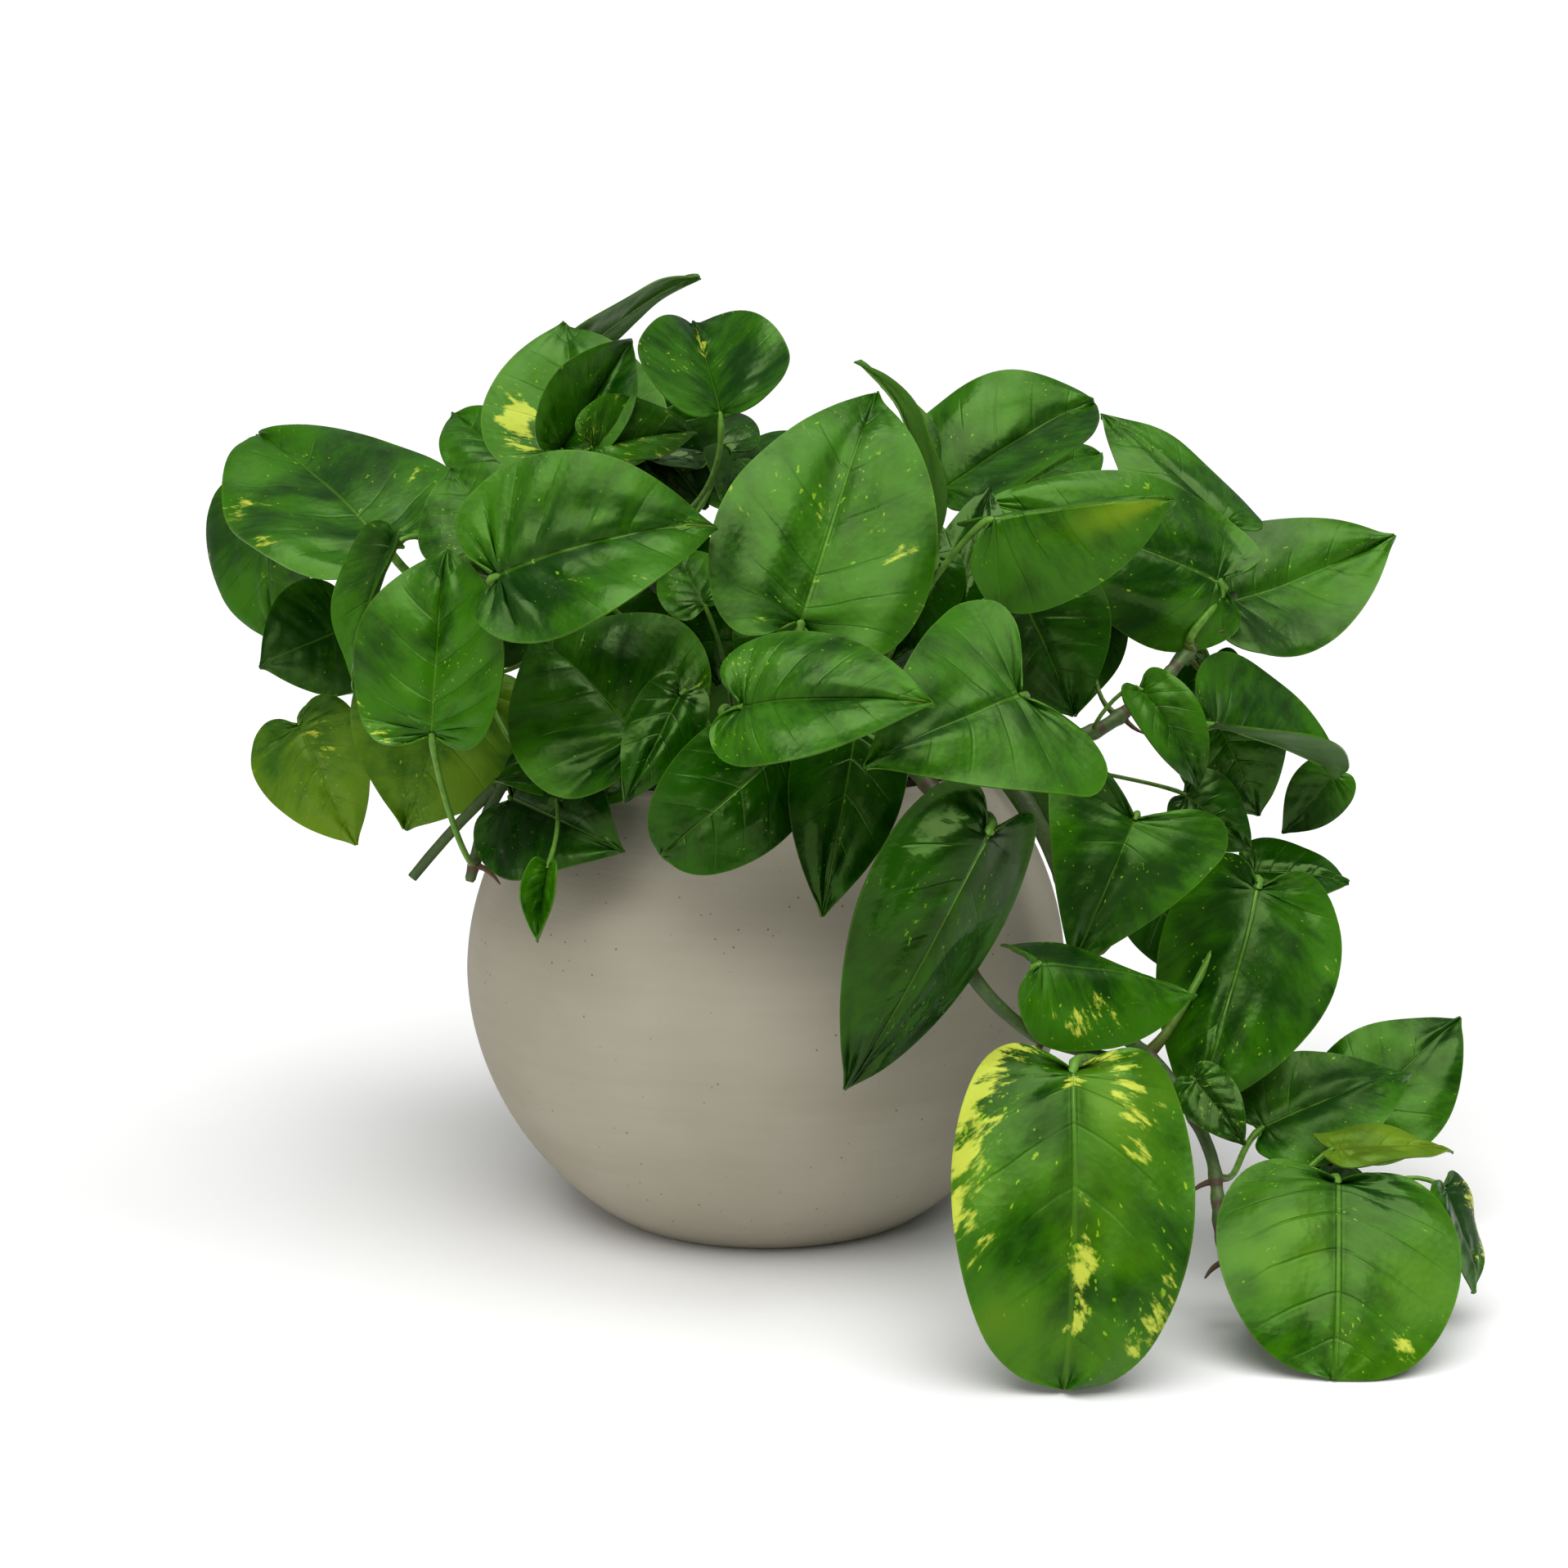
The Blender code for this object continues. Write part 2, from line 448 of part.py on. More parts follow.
def leaf(name, spec, parent):
    """One leaf: a ring of vertices carried along the petiole and then spread over the blade."""
    blade = Blade(spec)
    rings = leaf_rings(blade, petiole_path(blade, spec))
    bm = bmesh.new()
    bmesh.ops.create_circle(bm, cap_ends=True, segments=len(rings[0]), radius=PETIOLE)
    end = bm.faces[:][0]
    for vert, point in zip(end.verts, rings[0]):
        vert.co = point
    for ring in rings[1:]:
        end = bmesh.ops.extrude_discrete_faces(bm, faces=[end])["faces"][0]
        for vert, point in zip(end.verts, ring):
            vert.co = point
    bmesh.ops.remove_doubles(bm, verts=bm.verts, dist=0.000001)
    bmesh.ops.holes_fill(bm, edges=[edge for edge in bm.edges if edge.is_boundary], sides=0)
    return place(name, bm, FINISHES[spec.get("finish", "green")], parent, smooth=60)


FINISHES = {"green": LEAF_GREEN, "dark": LEAF_DARK, "old": LEAF_OLD}


def clear_scene():
    for found in list(bpy.data.objects):
        bpy.data.objects.remove(found, do_unlink=True)


def main():
    clear_scene()
    plant = bpy.data.objects.new("potted_plant", None)
    bpy.context.scene.collection.objects.link(plant)
    pot(plant)
    soil(plant)
    for name in VINES:
        vine(name, plant)
    for name, spec in LEAVES.items():
        leaf(name, spec, plant)


main()
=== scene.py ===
"""Potted golden pothos: the detailed visual model. Metres, +Z up, origin at the centre of the pot's base.

The plant is built the way it stands: a turned stoneware pot, its potting soil, the vines that rise from
the soil, and the leaves, each of which is one blade with its petiole. Nothing moves, so every piece
rides on root.
"""

from __future__ import annotations

import logging
from collections.abc import Callable, Iterable, Sequence
from dataclasses import dataclass, field
from enum import Enum
from math import ceil, cos, exp, pi, radians, sin, sqrt
from random import Random
from typing import Any

import bmesh
import bpy
from bmesh.types import BMesh
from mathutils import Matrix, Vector, noise

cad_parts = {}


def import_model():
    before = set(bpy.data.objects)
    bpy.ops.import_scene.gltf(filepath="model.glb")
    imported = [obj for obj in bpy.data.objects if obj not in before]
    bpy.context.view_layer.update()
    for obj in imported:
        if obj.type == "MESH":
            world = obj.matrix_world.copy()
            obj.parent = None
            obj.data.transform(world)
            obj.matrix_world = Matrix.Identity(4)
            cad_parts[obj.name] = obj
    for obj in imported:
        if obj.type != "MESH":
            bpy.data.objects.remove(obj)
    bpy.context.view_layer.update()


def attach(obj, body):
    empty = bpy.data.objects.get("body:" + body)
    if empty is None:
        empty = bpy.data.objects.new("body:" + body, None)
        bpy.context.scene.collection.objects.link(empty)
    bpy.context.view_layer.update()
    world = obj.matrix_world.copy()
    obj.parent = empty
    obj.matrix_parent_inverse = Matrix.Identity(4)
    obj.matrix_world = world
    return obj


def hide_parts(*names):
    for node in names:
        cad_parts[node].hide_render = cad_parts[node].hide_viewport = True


LOG = logging.getLogger("pothos")

Point = tuple[float, float, float]
Colour = tuple[float, float, float]

UV = "grown"
GROWTH = "growth"


class Outline(Enum):
    """Half outlines of a leaf: distance along the midrib and half width, as shares of their most."""

    HEART = ((-0.01, 0.05), (-0.10, 0.26), (-0.12, 0.50), (-0.05, 0.76), (0.09, 0.94), (0.25, 1.00),
             (0.42, 0.95), (0.58, 0.80), (0.73, 0.58), (0.86, 0.33), (0.95, 0.12), (1.00, 0.02))
    OVAL = ((-0.01, 0.05), (-0.06, 0.30), (-0.07, 0.55), (-0.01, 0.77), (0.12, 0.92), (0.29, 1.00),
            (0.46, 1.00), (0.62, 0.90), (0.76, 0.72), (0.88, 0.47), (0.96, 0.20), (1.00, 0.02))
    ARROW = ((-0.01, 0.05), (-0.12, 0.30), (-0.20, 0.58), (-0.19, 0.86), (-0.04, 1.00), (0.16, 0.90),
             (0.34, 0.76), (0.52, 0.59), (0.69, 0.40), (0.84, 0.22), (0.95, 0.08), (1.00, 0.02))
    BLUNT = ((-0.01, 0.05), (-0.06, 0.30), (-0.07, 0.55), (-0.01, 0.77), (0.12, 0.92), (0.29, 1.00),
             (0.46, 1.00), (0.62, 0.93), (0.77, 0.80), (0.89, 0.62), (0.97, 0.36), (1.00, 0.04))


class Tone(Enum):
    """How deep a leaf's green is, with the material slot that it takes. The dark tone is painted shade for
    leaves inside and under the bush.
    """

    GREEN = "leaf_green"
    DARK = "leaf_dark"
    OLD = "leaf_olive"


# Where the lateral ribs leave the midrib, for rim stations spaced evenly from the sinus to the tip.
RIB_FEET = ((0.0,), (0.006,), (0.018,), (0.045,), (0.20,), (0.47,), (0.76,), (1.0,))


def mix(a: float, b: float, t: float) -> float:
    """Blend of two numbers."""
    return a + (b - a) * t


def smooth(x: float, low: float, high: float) -> float:
    """Smooth step of x from low to high."""
    share = min(max((x - low) / (high - low), 0.0), 1.0)
    return share * share * (3 - 2 * share)


def on_curve(points: Sequence[Sequence[float]], t: float) -> list[float]:
    """Point on a Catmull-Rom curve.

    Args:
        points: the curve's points, of any dimension.
        t: share of the way along, 0 to 1.

    Returns:
        The coordinates at that share.
    """
    count = len(points) - 1
    k = min(int(t * count), count - 1)
    u = t * count - k
    p1, p2 = points[k], points[k + 1]
    p0 = points[k - 1] if k else [2 * b - c for b, c in zip(p1, p2)]
    p3 = points[k + 2] if k + 2 <= count else [2 * c - b for b, c in zip(p1, p2)]
    return [0.5 * (2 * b + (c - a) * u + (2 * a - 5 * b + 4 * c - d) * u * u
                   + (3 * b - a - 3 * c + d) * u ** 3) for a, b, c, d in zip(p0, p1, p2, p3)]


@dataclass(frozen=True)
class Patch:
    """A coloured patch of a blade, at across (-1 to 1) and along (0 to 1), with its size and strengths."""

    across: float
    along: float
    size: float
    cream: float = 0.0
    yellow: float = 0.0
    brown: float = 0.0


@dataclass(frozen=True)
class Look:
    """What one leaf's surface shows: variegation, ageing and the relief of its ribs and margins."""

    cream: float = 0.04
    yellow: float = 0.0
    brown: float = 0.0
    patches: tuple[Patch, ...] = ()
    ribs: float = 0.0004
    wave: float = 0.026
    curl: float = 0.0
    cup: float = 0.05


@dataclass(frozen=True)
class Leaf:
    """One leaf: where it leaves its vine, the ends of its midrib, the way its face looks, and its shape."""

    vine: str
    at: float
    base: Point
    tip: Point
    face: Point
    width: float
    fold: tuple[float, ...] = (10, -10)
    arch: float = 0.03
    hook: float = 0.05
    shape: Outline = Outline.HEART
    tone: Tone = Tone.GREEN
    ease: float = 0.35
    leave: Point | None = None


# Vines: points from the soil outwards. The first one's height is set from the soil.
VINES: dict[str, tuple[Point, ...]] = {
    "vine_left_trailing": ((-0.036, -0.018, 0), (-0.040, -0.022, 0.145), (-0.053, -0.034, 0.162),
                           (-0.072, -0.046, 0.162), (-0.085, -0.053, 0.145), (-0.092, -0.057, 0.121)),
    "vine_left_rising": ((-0.022, 0.004, 0), (-0.028, 0.002, 0.150), (-0.050, -0.008, 0.180),
                         (-0.080, -0.018, 0.196), (-0.110, -0.016, 0.200), (-0.135, -0.004, 0.205)),
    "vine_crown": ((-0.020, 0.024, 0), (-0.025, 0.026, 0.160), (-0.036, 0.024, 0.200),
                   (-0.042, 0.018, 0.230)),
    "vine_front": ((-0.006, -0.026, 0), (-0.008, -0.034, 0.148), (-0.010, -0.056, 0.168),
                   (-0.008, -0.084, 0.164), (-0.004, -0.098, 0.146)),
    "vine_middle": ((0.012, 0.006, 0), (0.016, 0.004, 0.160), (0.030, 0.000, 0.190),
                    (0.050, 0.002, 0.212), (0.064, 0.006, 0.226)),
    "vine_right_rising": ((0.034, 0.006, 0), (0.046, 0.004, 0.148), (0.072, -0.010, 0.161),
                          (0.101, -0.024, 0.162), (0.122, -0.012, 0.172), (0.140, 0.000, 0.187),
                          (0.156, 0.010, 0.205)),
    "vine_right_trailing": ((0.034, -0.018, 0), (0.040, -0.024, 0.146), (0.058, -0.038, 0.160),
                            (0.078, -0.052, 0.150), (0.092, -0.060, 0.124), (0.100, -0.062, 0.100),
                            (0.106, -0.066, 0.080), (0.122, -0.084, 0.067), (0.134, -0.098, 0.046),
                            (0.136, -0.114, 0.022), (0.146, -0.126, 0.008)),
    "vine_front_trailing": ((0.018, -0.030, 0), (0.022, -0.036, 0.146), (0.036, -0.056, 0.162),
                            (0.052, -0.084, 0.152), (0.056, -0.106, 0.130), (0.059, -0.114, 0.108),
                            (0.076, -0.118, 0.090), (0.096, -0.116, 0.082), (0.118, -0.106, 0.074)),
    "vine_back": ((0.006, 0.032, 0), (0.006, 0.036, 0.150), (0.014, 0.060, 0.172),
                  (0.026, 0.088, 0.162), (0.034, 0.108, 0.126), (0.038, 0.116, 0.090)),
}

# Leaves, by their CAD node. fold holds the angle of a half at the midrib and at its edge, for the left and
# then the right half where they differ; arch and hook bend the midrib as shares of its length.
LEAVES: dict[str, Leaf] = {
    "leaf_crown_back": Leaf(vine="vine_crown", at=0.80, base=(-0.069, 0.080, 0.285),
                            tip=(-0.026, 0.092, 0.314), face=(-0.3, 0.45, 1.0), width=0.028),
    "leaf_crown_round": Leaf(vine="vine_crown", at=0.62, base=(-0.063, 0.022, 0.250),
                             tip=(-0.069, 0.050, 0.296), face=(0.05, -0.85, 0.5), width=0.063,
                             fold=(8, -8)),
    "leaf_crown_narrow": Leaf(vine="vine_crown", at=0.70, base=(-0.066, -0.002, 0.253),
                              tip=(-0.044, 0.018, 0.289), face=(0.3, -0.8, 0.5), width=0.036,
                              fold=(55, 20)),
    "leaf_crown_heart": Leaf(vine="vine_crown", at=0.98, base=(-0.014, -0.030, 0.265),
                             tip=(-0.024, 0.012, 0.296), face=(0.1, -0.8, 0.6), width=0.054, fold=(34, 24)),
    "leaf_crown_dark": Leaf(vine="vine_crown", at=0.90, base=(-0.019, 0.040, 0.250),
                            tip=(-0.043, 0.082, 0.268), face=(0.0, -0.5, 0.9), width=0.045, tone=Tone.DARK),
    "leaf_left_top": Leaf(vine="vine_left_rising", at=0.80, base=(-0.119, -0.040, 0.226),
                          tip=(-0.172, 0.030, 0.259), face=(-0.1, -0.45, 0.9), width=0.074, fold=(10, -14)),
    "leaf_left_back": Leaf(vine="vine_left_rising", at=0.66, base=(-0.081, -0.064, 0.227),
                           tip=(-0.097, -0.046, 0.249), face=(-0.1, -0.9, 0.5), width=0.042),
    "leaf_left_drooping": Leaf(vine="vine_left_rising", at=0.98, base=(-0.168, 0.027, 0.240),
                               tip=(-0.164, 0.007, 0.189), face=(-0.6, -0.8, 0.1), width=0.062),
    "leaf_left_bright": Leaf(vine="vine_left_rising", at=0.88, base=(-0.137, -0.006, 0.195),
                             tip=(-0.164, -0.016, 0.184), face=(-0.1, -0.92, 0.38), width=0.044),
    "leaf_left_narrow": Leaf(vine="vine_left_rising", at=0.76, base=(-0.112, -0.060, 0.226),
                             tip=(-0.127, -0.062, 0.182), face=(-0.7, -0.7, 0.0), width=0.026,
                             fold=(50, 30)),
    "leaf_front_ribbed": Leaf(vine="vine_left_rising", at=0.58, base=(-0.078, -0.092, 0.219),
                              tip=(-0.014, -0.086, 0.235), face=(0.0, -0.9, 0.45), width=0.066,
                              fold=(8, -8, 24, 28), arch=0.08, hook=0.1, ease=0.2),
    "leaf_left_front": Leaf(vine="vine_left_trailing", at=0.96, base=(-0.098, -0.090, 0.172),
                            tip=(-0.094, -0.079, 0.226), face=(-0.1, -1.0, 0.1), width=0.050,
                            fold=(8, -8, 22, 30), shape=Outline.OVAL, leave=(-0.2, -0.7, -0.7)),
    "leaf_front_folded": Leaf(vine="vine_front", at=0.55, base=(-0.036, -0.088, 0.170),
                              tip=(-0.071, -0.054, 0.199), face=(0.1, -0.8, 0.6), width=0.066,
                              fold=(-5, -15, 25, 10), arch=0.06),
    "leaf_left_low": Leaf(vine="vine_left_trailing", at=0.58, base=(-0.078, -0.066, 0.149),
                          tip=(-0.043, -0.096, 0.139), face=(0.0, -0.95, 0.3), width=0.046, tone=Tone.DARK),
    "leaf_left_olive": Leaf(vine="vine_left_trailing", at=0.70, base=(-0.097, -0.026, 0.181),
                            tip=(-0.116, -0.033, 0.133), face=(-0.1, -1.0, 0.2), width=0.064,
                            tone=Tone.OLD),
    "leaf_left_olive_outer": Leaf(vine="vine_left_rising", at=0.62, base=(-0.153, -0.010, 0.164),
                                  tip=(-0.134, -0.022, 0.126), face=(-0.3, -1.0, 0.2), width=0.042,
                                  tone=Tone.OLD),
    "leaf_middle_large": Leaf(vine="vine_middle", at=0.55, base=(0.011, -0.080, 0.204),
                              tip=(0.035, -0.030, 0.273), face=(0.1, -0.8, 0.5), width=0.068,
                              fold=(14, -10), arch=0.05),
    "leaf_middle_rolled": Leaf(vine="vine_middle", at=0.85, base=(0.046, -0.046, 0.223),
                               tip=(0.032, -0.020, 0.282), face=(1.0, -0.2, 0.2), width=0.020,
                               fold=(58, 58), arch=0.12),
    "leaf_middle_glossy": Leaf(vine="vine_middle", at=0.70, base=(0.057, -0.040, 0.194),
                               tip=(0.073, -0.012, 0.243), face=(0.1, -0.8, 0.4), width=0.028,
                               tone=Tone.DARK),
    "leaf_right_top": Leaf(vine="vine_middle", at=0.97, base=(0.059, 0.030, 0.238),
                           tip=(0.113, 0.050, 0.270), face=(-0.2, -0.8, 0.5), width=0.060,
                           fold=(8, -8, 25, 40), shape=Outline.OVAL),
    "leaf_right_far_top": Leaf(vine="vine_right_rising", at=0.97, base=(0.157, 0.030, 0.227),
                               tip=(0.117, 0.060, 0.265), face=(0.0, -0.8, 0.5), width=0.040,
                               fold=(10, -10, -20, -50)),
    "leaf_right_broad": Leaf(vine="vine_right_rising", at=0.86, base=(0.150, 0.000, 0.210),
                             tip=(0.071, 0.000, 0.238), face=(0.0, -0.8, 0.6), width=0.055,
                             fold=(-15, -50, 10, -12)),
    "leaf_right_spotted": Leaf(vine="vine_front_trailing", at=0.30, base=(0.067, -0.078, 0.235),
                               tip=(0.123, -0.070, 0.241), face=(0, -0.75, 0.6), width=0.064, ease=0.15,
                               fold=(-50, -75, -38, -66)),
    "leaf_right_outer": Leaf(vine="vine_right_rising", at=0.90, base=(0.157, 0.030, 0.201),
                             tip=(0.219, 0.050, 0.223), face=(0.0, -0.8, 0.6), width=0.056, arch=-0.08),
    "leaf_right_arching": Leaf(vine="vine_right_rising", at=0.60, base=(0.120, -0.030, 0.178),
                               tip=(0.139, -0.034, 0.146), face=(0.3, -0.9, 0.2), width=0.024,
                               fold=(20, 20), arch=0.12),
    "leaf_right_hanging": Leaf(vine="vine_right_rising", at=0.80, base=(0.160, 0.076, 0.174),
                               tip=(0.157, 0.074, 0.124), face=(0.3, -1.0, 0.0), width=0.030,
                               tone=Tone.DARK),
    "leaf_right_level": Leaf(vine="vine_right_rising", at=0.72, base=(0.147, -0.010, 0.164),
                             tip=(0.197, 0.020, 0.143), face=(0.1, -0.8, 0.6), width=0.060,
                             fold=(5, -5, 55, 70)),
    "leaf_front_crest": Leaf(vine="vine_front", at=0.72, base=(-0.006, -0.130, 0.186),
                             tip=(0.046, -0.146, 0.190), face=(0.0, -0.7, 0.7), width=0.050,
                             fold=(25, -20)),
    "leaf_front_oval": Leaf(vine="vine_front", at=0.93, base=(0.006, -0.106, 0.170),
                            tip=(-0.029, -0.117, 0.141), face=(0.0, -1.0, 0.1), width=0.039, tone=Tone.DARK,
                            shape=Outline.BLUNT),
    "leaf_front_slim": Leaf(vine="vine_front", at=0.84, base=(-0.024, -0.096, 0.185),
                            tip=(-0.040, -0.108, 0.155), face=(0.0, -1.0, 0.1), width=0.022,
                            tone=Tone.DARK),
    "leaf_front_hanging": Leaf(vine="vine_front", at=0.98, base=(0.027, -0.106, 0.177),
                               tip=(0.017, -0.124, 0.125), face=(0.0, -1.0, 0.1), width=0.034,
                               tone=Tone.DARK),
    "leaf_front_heart": Leaf(vine="vine_front_trailing", at=0.42, base=(0.074, -0.112, 0.187),
                             tip=(0.029, -0.136, 0.171), face=(0.1, -0.8, 0.6), width=0.072, fold=(8, -15),
                             shape=Outline.ARROW),
    "leaf_front_drooping": Leaf(vine="vine_front_trailing", at=0.50, base=(0.064, -0.128, 0.150),
                                tip=(0.024, -0.140, 0.077), face=(0.1, -1.0, 0.15), width=0.052,
                                fold=(-30, -60, 12, -20), tone=Tone.DARK, hook=0.1),
    "leaf_right_star": Leaf(vine="vine_right_trailing", at=0.55, base=(0.112, -0.078, 0.145),
                            tip=(0.092, -0.092, 0.102), face=(0.1, -0.95, 0.3), width=0.058,
                            shape=Outline.ARROW),
    "leaf_right_low": Leaf(vine="vine_right_trailing", at=0.70, base=(0.154, -0.058, 0.120),
                           tip=(0.131, -0.088, 0.055), face=(0.1, -1.0, 0.2), width=0.064,
                           fold=(5, -15, -40, -65)),
    "leaf_right_wide": Leaf(vine="vine_front_trailing", at=0.80, base=(0.079, -0.122, 0.111),
                            tip=(0.128, -0.104, 0.098), face=(0.0, -0.5, 0.85), width=0.050,
                            fold=(-25, -35, -30, -50)),
    "leaf_floor_variegated": Leaf(vine="vine_front_trailing", at=0.92, base=(0.087, -0.142, 0.085),
                                  tip=(0.083, -0.172, 0.003), face=(0.0, -1.0, 0.25), width=0.067,
                                  fold=(10, -18), arch=0.1, shape=Outline.BLUNT),
    "leaf_floor_round": Leaf(vine="vine_right_trailing", at=0.92, base=(0.167, -0.122, 0.046),
                             tip=(0.159, -0.162, 0.003), face=(0.0, -0.75, 0.65), width=0.069,
                             fold=(6, -12), shape=Outline.BLUNT),
    "leaf_floor_grey": Leaf(vine="vine_right_trailing", at=0.84, base=(0.154, -0.074, 0.047),
                            tip=(0.205, -0.054, 0.060), face=(-0.1, -0.6, 0.7), width=0.040),
    "leaf_floor_back": Leaf(vine="vine_right_trailing", at=0.86, base=(0.190, -0.034, 0.034),
                            tip=(0.231, -0.014, 0.067), face=(-0.3, -0.8, 0.5), width=0.045),
    "leaf_floor_pale": Leaf(vine="vine_right_trailing", at=0.88, base=(0.172, -0.092, 0.046),
                            tip=(0.211, -0.084, 0.044), face=(0.0, -0.3, 1.0), width=0.020),
    "leaf_floor_outer": Leaf(vine="vine_right_trailing", at=0.97, base=(0.201, -0.112, 0.040),
                             tip=(0.210, -0.120, 0.011), face=(0.8, -0.5, 0.2), width=0.030),
    "leaf_right_glossy": Leaf(vine="vine_right_trailing", at=0.46, base=(0.159, -0.020, 0.117),
                              tip=(0.191, -0.020, 0.114), face=(0.0, -0.6, 0.8), width=0.030, fold=(8, -10),
                              tone=Tone.DARK),
    "leaf_right_cupped": Leaf(vine="vine_right_rising", at=0.66, base=(0.110, 0.022, 0.203),
                              tip=(0.103, 0.006, 0.165), face=(-0.3, -1.0, 0.2), width=0.030,
                              fold=(-20, -40), tone=Tone.DARK),
    "leaf_back_high": Leaf(vine="vine_back", at=0.40, base=(0.020, 0.080, 0.215), tip=(0.035, 0.125, 0.262),
                           face=(0.1, 0.7, 0.7), width=0.070),
    "leaf_back_left": Leaf(vine="vine_left_rising", at=0.34, base=(-0.060, 0.075, 0.195),
                           tip=(-0.115, 0.118, 0.215), face=(-0.3, 0.7, 0.6), width=0.065),
    "leaf_back_right": Leaf(vine="vine_back", at=0.55, base=(0.085, 0.080, 0.190),
                            tip=(0.135, 0.115, 0.205), face=(0.3, 0.7, 0.6), width=0.065),
    "leaf_back_drooping": Leaf(vine="vine_back", at=0.74, base=(0.000, 0.118, 0.165),
                               tip=(-0.015, 0.140, 0.085), face=(0.0, 1.0, 0.2), width=0.060),
    "leaf_back_low": Leaf(vine="vine_back", at=0.92, base=(0.066, 0.116, 0.128), tip=(0.090, 0.135, 0.060),
                          face=(0.2, 1.0, 0.1), width=0.058, tone=Tone.DARK),
}

